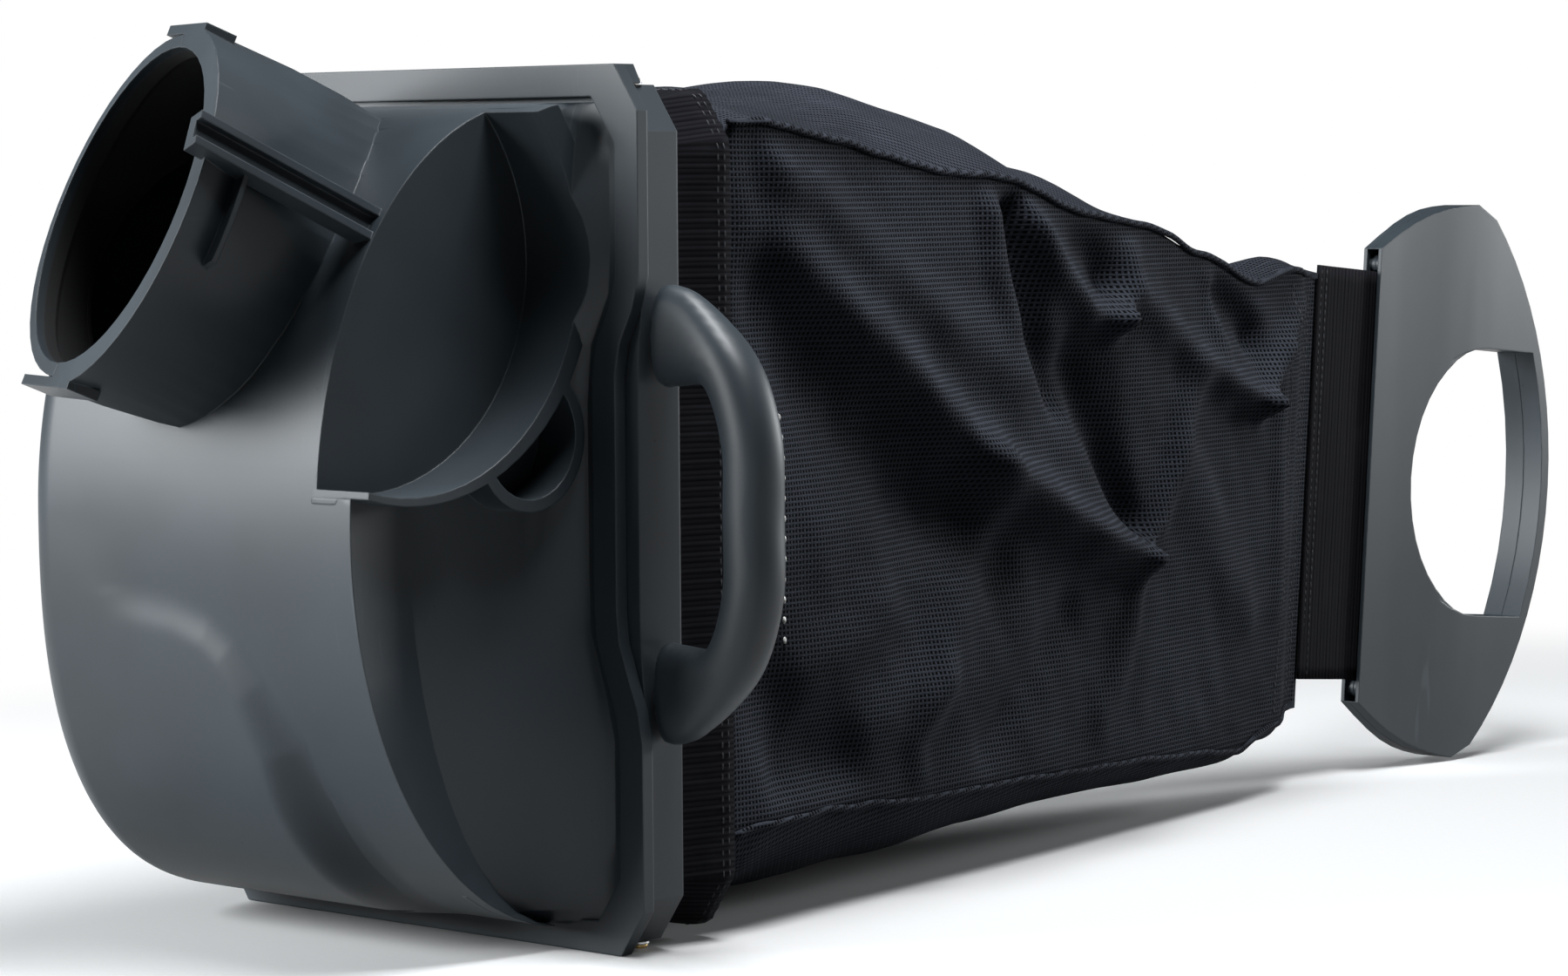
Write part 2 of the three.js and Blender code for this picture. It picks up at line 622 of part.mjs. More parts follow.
// Holes through the frame, collar and hoop for the screws
function screwHoles(diameter) {
  const middleY = FRAME_FRONT_Y + FRAME_DEPTH / 2;
  const holes = screwPlaces().map(([, x, z]) => solidOf(
    prism(circle(x, middleY, diameter / 2, 12), 'z', z - SCREW_HOLE_REACH, z + SCREW_HOLE_REACH)));
  return holes.reduce((sum, hole) => sum.add(hole));
}

function tubeSolid(outer, inner, from, to) {
  return solidOf(prism(outer, 'y', from, to)).subtract(solidOf(prism(inner, 'y', from - CUT_OVERRUN, to + CUT_OVERRUN)));
}

function frameOutline(inset) {
  return cutRectangle(FRAME_HALF_X - inset, FRAME_MID_Z, FRAME_HEIGHT / 2 - inset, CORNER_RUN, CORNER_RISE);
}

// Wedge that the finger scoop takes out of the frame's near side
function frameScoop() {
  const rings = [];
  const steps = 14;
  for (let i = 0; i <= steps; i += 1) {
    const z = lerp(RECESS_BOTTOM_Z, RECESS_TOP_Z, i / steps);
    const depth = (FRAME_SCOOP * fingerRecess(z)) / FINGER_RECESS;
    rings.push([
      new THREE.Vector3(FRAME_NEAR_X - depth, FRAME_FRONT_Y - 1, z),
      new THREE.Vector3(FRAME_NEAR_X + 1, FRAME_FRONT_Y - 1, z),
      new THREE.Vector3(FRAME_NEAR_X + 1, FRAME_REAR_Y - 1, z),
      new THREE.Vector3(FRAME_NEAR_X + 0.001, FRAME_REAR_Y - 1, z),
    ]);
  }
  return solidOf(loft(rings, FLAT.z));
}

// Band round the bag's mouth, with a lip inside its front edge
function makeFrame() {
  const band = tubeSolid(frameOutline(0), frameOutline(FRAME_BAND), FRAME_FRONT_Y, FRAME_REAR_Y);
  const lip = tubeSolid(frameOutline(FRAME_BAND / 2), frameOutline(FRAME_LIP), FRAME_FRONT_Y,
    FRAME_FRONT_Y + FRAME_LIP_THICKNESS);
  const frame = band.add(lip).subtract(frameScoop()).subtract(screwHoles(SCREW_SHANK + SCREW_HOLE_PLAY));
  return addPiece('bag_frame', geometryOf(frame), HOOD_PLASTIC);
}

// Points of a cut rectangle spaced for pleats, with every other point pushed out
function pleatedOutline(inset, pleat) {
  const corners = frameOutline(inset);
  const points = [];
  corners.forEach((from, i) => {
    const to = corners[(i + 1) % corners.length];
    const length = Math.hypot(to[0] - from[0], to[1] - from[1]);
    const steps = Math.max(2, 2 * Math.round(length / COLLAR_PITCH / 2));
    for (let k = 0; k < steps; k += 1) {
      const push = k % 2 === 1 ? pleat : 0;
      const nx = (to[1] - from[1]) / length;
      const nz = -(to[0] - from[0]) / length;
      points.push([
        lerp(from[0], to[0], k / steps) - nx * push,
        lerp(from[1], to[1], k / steps) - nz * push,
      ]);
    }
  });
  return points;
}

function makeCollar() {
  const outerInset = FRAME_BAND + SEAT_GAP;
  const outer = solidOf(prism(pleatedOutline(outerInset, COLLAR_PLEAT), 'y', COLLAR_FRONT_Y, COLLAR_REAR_Y));
  const inner = solidOf(prism(frameOutline(outerInset + COLLAR_THICKNESS + COLLAR_PLEAT), 'y',
    COLLAR_FRONT_Y - CUT_OVERRUN, COLLAR_REAR_Y + CUT_OVERRUN));
  const collar = outer.subtract(inner).subtract(screwHoles(SCREW_SHANK + SCREW_HOLE_PLAY));
  return addPiece('bag_collar', geometryOf(collar), WEBBING);
}

function makeHoop() {
  const inset = FRAME_BAND + COLLAR_THICKNESS + COLLAR_PLEAT + 2 * SEAT_GAP;
  const hoop = tubeSolid(frameOutline(inset), frameOutline(inset + HOOP_THICKNESS),
    COLLAR_FRONT_Y, COLLAR_FRONT_Y + HOOP_DEPTH);
  return addPiece('clamp_hoop', geometryOf(hoop.subtract(screwHoles(SCREW_SHANK + SCREW_HOLE_PLAY))), STEEL);
}

// Revolved piece about a vertical axis, from a closed profile of [radius, height] pairs
function turned(profile, x, y, z, facing, steps = 16) {
  const points = profile.map(([radius, height]) => new THREE.Vector2(radius, height * facing));
  const geometry = new THREE.LatheGeometry(facing > 0 ? points : points.reverse(), steps);
  geometry.rotateX(Math.PI / 2);
  geometry.translate(x, y, z);
  return geometry;
}

function makeFrameScrews() {
  const middleY = FRAME_FRONT_Y + FRAME_DEPTH / 2;
  const shank = SCREW_SHANK / 2;
  const reach = FRAME_BAND + COLLAR_THICKNESS + COLLAR_PLEAT + HOOP_THICKNESS + SCREW_TIP_SHOWN;
  const under = WASHER_THICKNESS + 2 * SEAT_GAP;
  const head = SCREW_HEAD / 2;
  for (const [place, x, z, facing] of screwPlaces()) {
    const screw = [
      [0, -reach], [shank * 0.6, -reach], [shank, -reach + SCREW_TIP_EASE], [shank, under], [head, under],
      [head, under + SCREW_HEAD_HEIGHT * 0.45], [head * 0.6, under + SCREW_HEAD_HEIGHT],
      [0, under + SCREW_HEAD_HEIGHT],
    ];
    const washer = [
      [shank + SEAT_GAP, SEAT_GAP], [WASHER_DIAMETER / 2, SEAT_GAP],
      [WASHER_DIAMETER / 2, SEAT_GAP + WASHER_THICKNESS], [shank + SEAT_GAP, SEAT_GAP + WASHER_THICKNESS],
      [shank + SEAT_GAP, SEAT_GAP],
    ];
    addPiece(`frame_screw_${place}`, turned(screw, x, middleY, z, facing), BRASS);
    addPiece(`frame_washer_${place}`, turned(washer, x, middleY, z, facing), STEEL);
  }
}

// Closed rounded section of the carry handle at one stop of its path
function gripSection(centre, tangent, inPlane, across) {
  const normal = new THREE.Vector3(-tangent.z, 0, tangent.x);
  const side = new THREE.Vector3(0, 1, 0);
  const steps = 16;
  return Array.from({ length: steps }, (_, i) => {
    const angle = (i / steps) * 2 * Math.PI;
    const c = Math.cos(angle);
    const s = Math.sin(angle);
    return centre.clone()
      .addScaledVector(normal, (inPlane / 2) * Math.sign(c) * Math.abs(c) ** 0.85)
      .addScaledVector(side, (across / 2) * Math.sign(s) * Math.abs(s) ** 0.85);
  });
}

function makeCarryHandle() {
  const rootX = FRAME_NEAR_X + SEAT_GAP;
  const gripX = FRAME_NEAR_X + GRIP_STANDOFF;
  const middleY = FRAME_FRONT_Y + FRAME_DEPTH / 2;
  const at = (x, z) => new THREE.Vector3(x, middleY, z);
  const path = new THREE.CatmullRomCurve3([
    at(rootX, HANDLE_TOP_Z), at(lerp(rootX, gripX, 0.22), HANDLE_TOP_Z - 1),
    at(lerp(rootX, gripX, 0.74), HANDLE_TOP_Z - HANDLE_ELBOW * 0.3), at(gripX, HANDLE_TOP_Z - HANDLE_ELBOW),
    at(gripX + 1, (HANDLE_TOP_Z + HANDLE_BOTTOM_Z) / 2), at(gripX, HANDLE_BOTTOM_Z + HANDLE_ELBOW),
    at(lerp(rootX, gripX, 0.74), HANDLE_BOTTOM_Z + HANDLE_ELBOW * 0.3),
    at(lerp(rootX, gripX, 0.22), HANDLE_BOTTOM_Z + 1), at(rootX, HANDLE_BOTTOM_Z),
  ]);
  const stops = 36;
  const rings = [];
  for (let i = 0; i <= stops; i += 1) {
    const share = i / stops;
    const end = Math.min(share, 1 - share);
    const swell = 1 - smooth(end, 0.02, 0.2);
    const tangent = path.getTangentAt(share);
    if (i === 0) tangent.set(1, 0, 0);
    if (i === stops) tangent.set(-1, 0, 0);
    rings.push(gripSection(path.getPointAt(share), tangent.normalize(),
      lerp(GRIP_DIAMETER, ROOT_HEIGHT, swell), lerp(GRIP_DIAMETER, ROOT_WIDTH, swell)));
  }
  return addPiece('carry_handle', loft(rings, (v) => new THREE.Vector2(v.z, v.y)), HOOD_PLASTIC);
}

// How the bag's section changes along its length, at shares of the length: the share of the mouth's
// half width, the crown's rise and the upper seam's rise above a straight taper, the height of the
// lower seam above the belly, and the belly's height
const BAG_STATIONS = [
  { at: 0.0, width: 1.0, crown: 0, seam: 4, lower: 30, belly: 0 },
  { at: 0.024, width: 1.0, crown: 0, seam: 4, lower: 36, belly: 0 },
  { at: 0.07, width: 0.995, crown: 12, seam: 8, lower: 44, belly: -5 },
  { at: 0.16, width: 0.905, crown: 26, seam: 7, lower: 44, belly: -5 },
  { at: 0.3, width: 0.775, crown: 43, seam: 4, lower: 36, belly: -2 },
  { at: 0.42, width: 0.665, crown: 36, seam: 8, lower: 28, belly: 5 },
  { at: 0.53, width: 0.555, crown: 21, seam: -1, lower: 22, belly: 8 },
  { at: 0.64, width: 0.435, crown: 7, seam: 0, lower: 20, belly: 8 },
  { at: 0.74, width: 0.325, crown: -7, seam: -9, lower: 16, belly: 8 },
  { at: 0.84, width: 0.21, crown: -16, seam: -18, lower: 10, belly: 9 },
  { at: 0.92, width: 0.12, crown: 3, seam: -5, lower: 12, belly: 17 },
  { at: 1.0, width: 0.0, crown: 0, seam: -4, lower: 4, belly: 32 },
];

// Folds of the cloth's side panels: ridges and hollows between two points of [share along, height]
const BAG_FOLDS = [
  { from: [0.02, 350], to: [0.33, 240], height: 9, width: 26 },
  { from: [0.33, 240], to: [0.61, 152], height: 12, width: 24 },
  { from: [0.12, 225], to: [0.55, 118], height: -9, width: 34 },
  { from: [0.43, 352], to: [0.45, 262], height: -10, width: 16 },
  { from: [0.5, 340], to: [0.56, 289], height: 9, width: 17 },
  { from: [0.47, 270], to: [0.66, 205], height: -8, width: 22 },
  { from: [0.68, 318], to: [0.81, 233], height: 7, width: 18 },
  { from: [0.62, 300], to: [0.74, 215], height: -7, width: 16 },
  { from: [0.05, 290], to: [0.3, 330], height: -6, width: 24 },
  { from: [0.66, 120], to: [0.9, 90], height: 5, width: 20 },
];

function bagStation(share) {
  const next = Math.max(1, BAG_STATIONS.findIndex((s) => s.at >= share));
  const a = BAG_STATIONS[next - 1];
  const b = BAG_STATIONS[next];
  const t = (share - a.at) / (b.at - a.at);
  const ease = t * t * (3 - 2 * t);
  const mix = (key, blend) => lerp(a[key], b[key], blend);
  return { width: mix('width', t), crown: mix('crown', ease), seam: mix('seam', ease),
    lower: mix('lower', ease), belly: mix('belly', ease) };
}

// Outward push of the folds at a place on a side panel
function foldPush(share, z) {
  let push = 0;
  for (const fold of BAG_FOLDS) {
    const ax = fold.from[0] * BAG_LENGTH;
    const bx = fold.to[0] * BAG_LENGTH;
    const dx = bx - ax;
    const dz = fold.to[1] - fold.from[1];
    const t = clamp(((share * BAG_LENGTH - ax) * dx + (z - fold.from[1]) * dz) / (dx * dx + dz * dz), 0, 1);
    const distance = Math.hypot(share * BAG_LENGTH - ax - t * dx, z - fold.from[1] - t * dz);
    push += fold.height * Math.exp(-((distance / fold.width) ** 2));
  }
  return push * smooth(share, LAP_SHARE, 0.1) * (1 - smooth(share, 0.88, 1));
}

// Keeps a near-side point of the lapped mouth inside the collar's cut corners
function holdInCollar([x, z]) {
  const side = Math.sign(z - FRAME_MID_Z);
  const gapX = BAG_HALF_X - x;
  const gapZ = BAG_HALF_Z - Math.abs(z - FRAME_MID_Z);
  const excess = Math.max(0, (1 - gapX / CORNER_RUN - gapZ / CORNER_RISE) / 2);
  return [x - excess * CORNER_RUN, z - side * excess * CORNER_RISE];
}

// Closed [x, z] outline of the bag's outside at a share of its length
function bagOutline(share) {
  const s = bagStation(share);
  const half = lerp(BAG_END_THICKNESS / 2, BAG_HALF_X, s.width);
  const squareTop = BAG_HALF_Z * 0.94;
  const top = lerp(FRAME_MID_Z + BAG_HALF_Z, BAG_END_Z + BAG_END_HEIGHT / 2, share);
  const crown = top + s.crown;
  const seamTop = lerp(FRAME_MID_Z + squareTop, BAG_END_Z + BAG_END_HEIGHT / 2, share) + s.seam;
  const belly = FRAME_MID_Z - BAG_HALF_Z + s.belly;
  const seamLow = belly + s.lower;
  const pipe = PIPING * smooth(share, 0.03, 0.08);
  const flatten = lerp(6, 2.2, smooth(share, 0, 0.12));
  const flattenLow = lerp(6, 4.5, smooth(share, 0, 0.12));
  const near = [];
  for (const u of [0, 0.25, 0.5, 0.75, 0.93]) {
    near.push([half * u, lerp(crown, seamTop, u ** flatten)]);
  }
  near.push([half + pipe * 0.5, seamTop + pipe]);
  for (const v of [0.05, 0.16, 0.27, 0.38, 0.5, 0.62, 0.73, 0.84, 0.95]) {
    const z = lerp(seamTop, seamLow, v);
    const bulge = 5 * Math.sin(Math.PI * v) * smooth(share, LAP_SHARE, 0.15) * (1 - smooth(share, 0.8, 1));
    near.push([Math.max(3, half + bulge + foldPush(share, z)), z]);
  }
  near.push([half + pipe, seamLow]);
  for (const u of [0.92, 0.72, 0.48, 0.24, 0]) {
    near.push([half * u, lerp(belly, seamLow, u ** flattenLow)]);
  }
  const held = share < LAP_SHARE + 0.001 ? near.map(holdInCollar) : near;
  const far = held.slice(1, -1).reverse().map(([x, z]) => [-x, z]);
  return [...held, ...far];
}

// Ring of the bag's outside, or of its inside, at a share of its length
function bagRing(share, inside) {
  const shear = Math.tan(REAR_LEAN) * smooth(share, 0.3, 1);
  const y = BAG_FRONT_Y + share * BAG_LENGTH - (inside ? BAG_WALL * smooth(share, 0.99, 1) : 0);
  const midX = lerp(FLANGE_MID_X, REAR_X, share);
  const outline = bagOutline(share);
  const wall = inside ? offsetOutline(outline, BAG_WALL) : outline;
  return wall.map(([x, z]) => new THREE.Vector3(midX + x, y + (z - REAR_ORIGIN_Z) * shear, z));
}

function makeBag() {
  const stops = 25;
  const outer = [];
  const inner = [];
  for (let i = 0; i <= stops; i += 1) {
    const share = i === 0 ? 0 : lerp(LAP_SHARE, 1, (i - 1) / (stops - 1));
    outer.push(bagRing(share, false));
    inner.push(bagRing(share, true));
  }
  const count = outer[0].length;
  const innerStart = outer.length * count;
  const vertices = [...outer.flat(), ...inner.flat()];
  const triangles = [];
  for (let i = 0; i < stops; i += 1) {
    const outside = band(i * count, (i + 1) * count, count);
    triangles.push(...outside);
    triangles.push(...outside.map(([a, b, c]) => [innerStart + a, innerStart + c, innerStart + b]));
  }
  triangles.push(...band(innerStart, 0, count));
  const outerEnd = cap(vertices, outer[stops], stops * count, FLAT.y);
  const innerEnd = cap(vertices, inner[stops], innerStart + stops * count, FLAT.y);
  return addPiece('mesh_bag', closedGeometry(vertices, joinCaps(triangles, outerEnd, innerEnd)), MESH_FABRIC);
}

// Puts a shape from the rear handle's own upright frame into its leaning place
function leanRear(geometry) {
  geometry.rotateX(-REAR_LEAN);
  geometry.translate(REAR_X, REAR_MOUTH_Y, REAR_ORIGIN_Z);
  return geometry;
}

// Outline of the rear handle, as [y, z] pairs, grown or shrunk by `grow`
function rearOutline(grow) {
  const tipZ = REAR_TIP_HEIGHT / 2;
  const sagitta = REAR_DEPTH - REAR_TIP_REACH;
  const radius = (tipZ * tipZ + sagitta * sagitta) / (2 * sagitta);
  const centreY = REAR_DEPTH - radius;
  const points = [];
  const edgeSteps = 6;
  for (let i = 0; i <= edgeSteps; i += 1) {
    const t = i / edgeSteps;
    points.push([
      lerp(0, REAR_TIP_REACH - REAR_TIP_ROUND, t),
      -lerp(REAR_MOUTH_HEIGHT / 2, tipZ - 1, t) - REAR_EDGE_CROWN * Math.sin(Math.PI * t),
    ]);
  }
  const arcSteps = 22;
  const half = Math.asin((tipZ - REAR_TIP_ROUND) / radius);
  for (let i = 0; i <= arcSteps; i += 1) {
    const angle = lerp(-half, half, i / arcSteps);
    points.push([centreY + radius * Math.cos(angle), radius * Math.sin(angle)]);
  }
  const top = points.slice(0, edgeSteps + 1).reverse().map(([y, z]) => [y, -z]);
  return offsetOutline([...points, ...top], grow);
}

// Moves each point of a closed anticlockwise outline out along its mean normal
function offsetOutline(points, grow) {
  if (grow === 0) return points;
  return points.map(([y, z], i) => {
    const [py, pz] = points[(i + points.length - 1) % points.length];
    const [ny, nz] = points[(i + 1) % points.length];
    const before = new THREE.Vector2(z - pz, py - y).normalize();
    const after = new THREE.Vector2(nz - z, y - ny).normalize();
    const mean = before.clone().add(after).normalize();
    const scale = grow / Math.max(0.5, mean.dot(before));
    return [y + mean.x * scale, z + mean.y * scale];
  });
}

// Outline of the hand hole: a half ellipse on the strap side, and a bar side that follows the grip
function holeOutline(grow, dish = 0) {
  const half = HOLE_HEIGHT / 2;
  const tipZ = REAR_TIP_HEIGHT / 2;
  const sagitta = REAR_DEPTH - REAR_TIP_REACH;
  const radius = (tipZ * tipZ + sagitta * sagitta) / (2 * sagitta);
  const inner = radius - GRIP_BAR;
  const centreY = REAR_DEPTH - radius;
  const points = [];
  const steps = 20;
  for (let i = 0; i <= steps; i += 1) {
    const angle = Math.PI / 2 + (Math.PI * i) / steps;
    points.push([HOLE_ARC_Y + (HOLE_ARC_REACH + dish) * Math.cos(angle), half * Math.sin(angle)]);
  }
  const reach = Math.asin(half / inner);
  const barSteps = 8;
  for (let i = 0; i <= barSteps; i += 1) {
    const angle = lerp(-reach, reach, i / barSteps);
    points.push([centreY + inner * Math.cos(angle), inner * Math.sin(angle)]);
  }
  return offsetOutline(points, grow);
}

// Level profile that thickens the handle from its mouth to its grip, as [x, y] pairs
function rearThickness(inset, side) {
  const outline = [[side * SEAT_GAP / 2, -1], [side * SEAT_GAP / 2, REAR_DEPTH + 1]];
  const steps = 8;
  for (let i = steps; i >= 0; i -= 1) {
    const y = (i / steps) * REAR_DEPTH;
    const share = smooth(y, 0, HOLE_ARC_Y);
    const half = lerp(REAR_MOUTH_THICKNESS, REAR_GRIP_THICKNESS, share) / 2;
    outline.push([side * (half - inset), i === steps ? y + 1 : y]);
  }
  outline.push([side * (REAR_MOUTH_THICKNESS / 2 - inset), -1]);
  return outline;
}

// Shallow crescent dish on the strap side of the hand hole, with its floor `depth` under the outside
function holeDish(side, grow, depth) {
  const floor = side * (REAR_GRIP_THICKNESS / 2 - depth);
  return solidOf(prism(holeOutline(grow, HOLE_DISH), 'x', floor, side * REAR_GRIP_THICKNESS));
}

// One moulded half of the rear handle: a thin shell round the outline and the hand hole
function rearShell(side) {
  const reach = side * REAR_GRIP_THICKNESS;
  const thick = solidOf(prism(rearThickness(0, side), 'z', -REAR_TIP_HEIGHT, REAR_TIP_HEIGHT));
  const hollow = solidOf(prism(rearThickness(REAR_WALL, side), 'z', -REAR_TIP_HEIGHT, REAR_TIP_HEIGHT));
  const outer = solidOf(prism(rearOutline(0), 'x', 0, reach)).intersect(thick);
  const innerOutline = rearOutline(-REAR_WALL).map(([y, z]) => (y < REAR_WALL * 2 ? [-2, z] : [y, z]));
  const cavity = solidOf(prism(innerOutline, 'x', -reach, reach)).intersect(hollow)
    .subtract(solidOf(prism(holeOutline(REAR_WALL), 'x', -reach, reach)))
    .subtract(holeDish(side, REAR_WALL, HOLE_DISH_DEPTH + REAR_WALL));
  const hole = solidOf(prism(holeOutline(0), 'x', -reach, reach));
  const bosses = rearScrewPlaces().map(([, y, z]) => solidOf(
    prism(circle(y, z, REAR_SCREW_HEAD / 2 + REAR_WALL, 14), 'x', 0, reach)).intersect(outer));
  const walls = bosses.reduce((sum, boss) => sum.add(boss), outer.subtract(cavity));
  return walls.subtract(hole).subtract(holeDish(side, 0, HOLE_DISH_DEPTH));
}

function rearScrewPlaces() {
  const mouthZ = REAR_MOUTH_HEIGHT / 2 - MOUTH_SCREW_INSET;
  const tipZ = REAR_TIP_HEIGHT / 2 - TIP_SCREW_DROP;
  const tipY = REAR_TIP_REACH - TIP_SCREW_INSET;
  return [
    ['mouth_top', MOUTH_SCREW_INSET, mouthZ], ['mouth_bottom', MOUTH_SCREW_INSET, -mouthZ],
    ['tip_top', tipY, tipZ], ['tip_bottom', tipY, -tipZ],
  ];
}

// Half thickness of the closed handle at a distance from its mouth
function rearHalfAt(y) {
  return lerp(REAR_MOUTH_THICKNESS, REAR_GRIP_THICKNESS, smooth(y, 0, HOLE_ARC_Y)) / 2;
}

function screwPocket(y, z, radius, from, to) {
  return solidOf(prism(circle(y, z, radius, 12), 'x', from, to));
}

// Room for the strap and its rod at the handle's mouth
function strapPocket() {
  const halfZ = STRAP_HEIGHT / 2 + STRAP_POCKET_PLAY;
  const front = -2 * CUT_OVERRUN;
  const back = STRAP_TUCK + STRAP_GROOVE_PLAY;
  const slot = STRAP_THICKNESS / 2 + SEAT_GAP;
  const rod = STRAP_ROD / 2 + SEAT_GAP;
  const strip = solidOf(prism([[front, -halfZ], [STRAP_TUCK, -halfZ], [STRAP_TUCK, halfZ], [front, halfZ]],
    'x', -slot, slot));
  const groove = solidOf(prism([
    [STRAP_TUCK - STRAP_ROD, -halfZ], [back, -halfZ],
    [back, halfZ], [STRAP_TUCK - STRAP_ROD, halfZ],
  ], 'x', -rod, rod));
  return strip.add(groove);
}

function makeRearHandle() {
  const play = SEAT_GAP;
  for (const [name, side] of [['rear_handle_near_shell', 1], ['rear_handle_far_shell', -1]]) {
    let shell = rearShell(side).subtract(strapPocket());
    for (const [, y, z] of rearScrewPlaces()) {
      const half = rearHalfAt(y);
      const end = half - REAR_WALL;
      shell = shell.subtract(screwPocket(y, z, REAR_SCREW_SHANK / 2 + play, -half, end));
      shell = shell.subtract(screwPocket(y, z, REAR_SCREW_HEAD / 2 + play, -half - 2 * CUT_OVERRUN, -half + REAR_SCREW_SINK));
    }
    addPiece(name, leanRear(geometryOf(shell)), HOOD_PLASTIC);
  }
  for (const [place, y, z] of rearScrewPlaces()) {
    const half = rearHalfAt(y);
    const shank = REAR_SCREW_SHANK / 2;
    const head = REAR_SCREW_HEAD / 2;
    const headTop = half - REAR_SCREW_SET_IN;
    const seat = half - REAR_SCREW_SINK + play;
    const profile = [
      [0, -(half - REAR_WALL - play)], [shank, -(half - REAR_WALL - play)], [shank, seat],
      [head, seat], [head, headTop - REAR_SCREW_CROWN], [head * 0.7, headTop], [0, headTop],
    ].map(([radius, height]) => new THREE.Vector2(radius, height));
    const screw = new THREE.LatheGeometry(profile, 12);
    screw.rotateZ(Math.PI / 2);
    screw.translate(0, y, z);
    addPiece(`rear_screw_${place}`, leanRear(screw), STEEL);
  }
}

function makeStrap() {
  const half = STRAP_HEIGHT / 2;
  const thick = STRAP_THICKNESS / 2;
  const tail = STRAP_TUCK - STRAP_ROD - SEAT_GAP;
  const strap = prism([[-STRAP_SHOWN, -half], [tail, -half], [tail, half], [-STRAP_SHOWN, half]], 'x', -thick, thick);
  addPiece('rear_strap', leanRear(strap), WEBBING);
  const rod = prism(circle(0, STRAP_TUCK - STRAP_ROD / 2, STRAP_ROD / 2, 12), 'z', -half, half);
  addPiece('strap_rod', leanRear(rod), STEEL);
}

makeHood();
makeSpoutHalf();
makeFrame();
makeCarryHandle();
makeCollar();
makeHoop();
makeFrameScrews();
makeBag();
makeStrap();
makeRearHandle();

// The origin is the middle of the overall footprint, at the level that the bag stands on
const bounds = new THREE.Box3().setFromObject(object);
object.position.set(
  -(bounds.min.x + bounds.max.x) / 2,
  -(bounds.min.y + bounds.max.y) / 2,
  -bounds.min.z,
);
object.updateMatrixWorld(true);

export default object;
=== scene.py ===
"""Looks of the mower grass collection bag, in metres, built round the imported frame."""

import json
import logging
import math
from dataclasses import dataclass, field
from enum import Enum
from typing import Callable, Sequence

import bmesh
import bpy
from mathutils import Matrix, Vector, noise

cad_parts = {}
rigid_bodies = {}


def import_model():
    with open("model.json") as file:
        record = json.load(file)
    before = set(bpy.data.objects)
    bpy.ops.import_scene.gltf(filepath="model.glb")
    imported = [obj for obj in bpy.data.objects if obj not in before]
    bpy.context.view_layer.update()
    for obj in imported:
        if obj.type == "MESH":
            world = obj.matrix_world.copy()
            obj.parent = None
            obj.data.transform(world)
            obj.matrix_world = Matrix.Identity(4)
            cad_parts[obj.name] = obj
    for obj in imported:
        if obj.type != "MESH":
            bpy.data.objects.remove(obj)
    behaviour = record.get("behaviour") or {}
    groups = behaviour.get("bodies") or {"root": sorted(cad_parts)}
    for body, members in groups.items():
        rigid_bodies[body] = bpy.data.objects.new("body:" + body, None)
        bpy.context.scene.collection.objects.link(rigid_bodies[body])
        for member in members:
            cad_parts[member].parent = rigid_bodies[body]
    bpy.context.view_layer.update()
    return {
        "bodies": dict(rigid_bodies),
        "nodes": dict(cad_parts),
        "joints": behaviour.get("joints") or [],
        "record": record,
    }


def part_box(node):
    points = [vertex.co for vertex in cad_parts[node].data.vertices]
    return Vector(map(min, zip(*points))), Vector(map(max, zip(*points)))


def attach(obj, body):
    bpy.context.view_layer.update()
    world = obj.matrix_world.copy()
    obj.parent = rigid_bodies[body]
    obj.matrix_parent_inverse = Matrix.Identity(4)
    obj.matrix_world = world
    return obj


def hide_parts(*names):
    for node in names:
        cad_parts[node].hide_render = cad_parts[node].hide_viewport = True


LOG = logging.getLogger("grass_bag")
MM = 0.001
ROOT = "root"
MATT_SPECULAR = 0.03
STITCH = 3.2
THREAD_WIDTH = 0.9
Colour = tuple[float, float, float]
Stop = tuple[float, Colour]


class Slot(Enum):
    """Material slots of the record."""

    PLASTIC = "moulded_plastic"
    CLOTH = "mesh_cloth"
    WEBBING = "webbing"
    BRASS = "brass_screw"
    STEEL = "plated_steel"


class Panel(Enum):
    """Cut panels of the cloth bag, in the order in which they go round it."""

    TOP_NEAR = 0
    SIDE_NEAR = 1
    BELLY_NEAR = 2
    BELLY_FAR = 3
    SIDE_FAR = 4
    TOP_FAR = 5


# Shader building


class Signal:
    """A shader socket that takes part in arithmetic."""

    def __init__(self, graph: "Graph", socket: bpy.types.NodeSocket) -> None:
        """Wraps an output socket of a graph."""
        self.graph = graph
        self.socket = socket

    def __add__(self, other: "Signal | float") -> "Signal":
        """Sum of two values."""
        return self.graph.maths("ADD", self, other)

    __radd__ = __add__

    def __sub__(self, other: "Signal | float") -> "Signal":
        """Difference of two values."""
        return self.graph.maths("SUBTRACT", self, other)

    def __rsub__(self, other: float) -> "Signal":
        """Difference of a number and a value."""
        return self.graph.maths("SUBTRACT", other, self)

    def __mul__(self, other: "Signal | float") -> "Signal":
        """Product of two values."""
        return self.graph.maths("MULTIPLY", self, other)

    __rmul__ = __mul__

    def __pow__(self, power: float) -> "Signal":
        """A value raised to a number."""
        return self.graph.maths("POWER", self, power)

    def __abs__(self) -> "Signal":
        """Size of a value."""
        return self.graph.maths("ABSOLUTE", self, 0.0)

    def sine(self) -> "Signal":
        """Sine of a value in radians."""
        return self.graph.maths("SINE", self, 0.0)

    def greatest(self, other: "Signal | float") -> "Signal":
        """Greater of two values."""
        return self.graph.maths("MAXIMUM", self, other)

    def step(self, low: float, high: float) -> "Signal":
        """Smooth rise from 0 at `low` to 1 at `high`."""
        return self.graph.node(
            "ShaderNodeMapRange", {"interpolation_type": "SMOOTHSTEP"},
            {"Value": self, "From Min": low, "From Max": high})


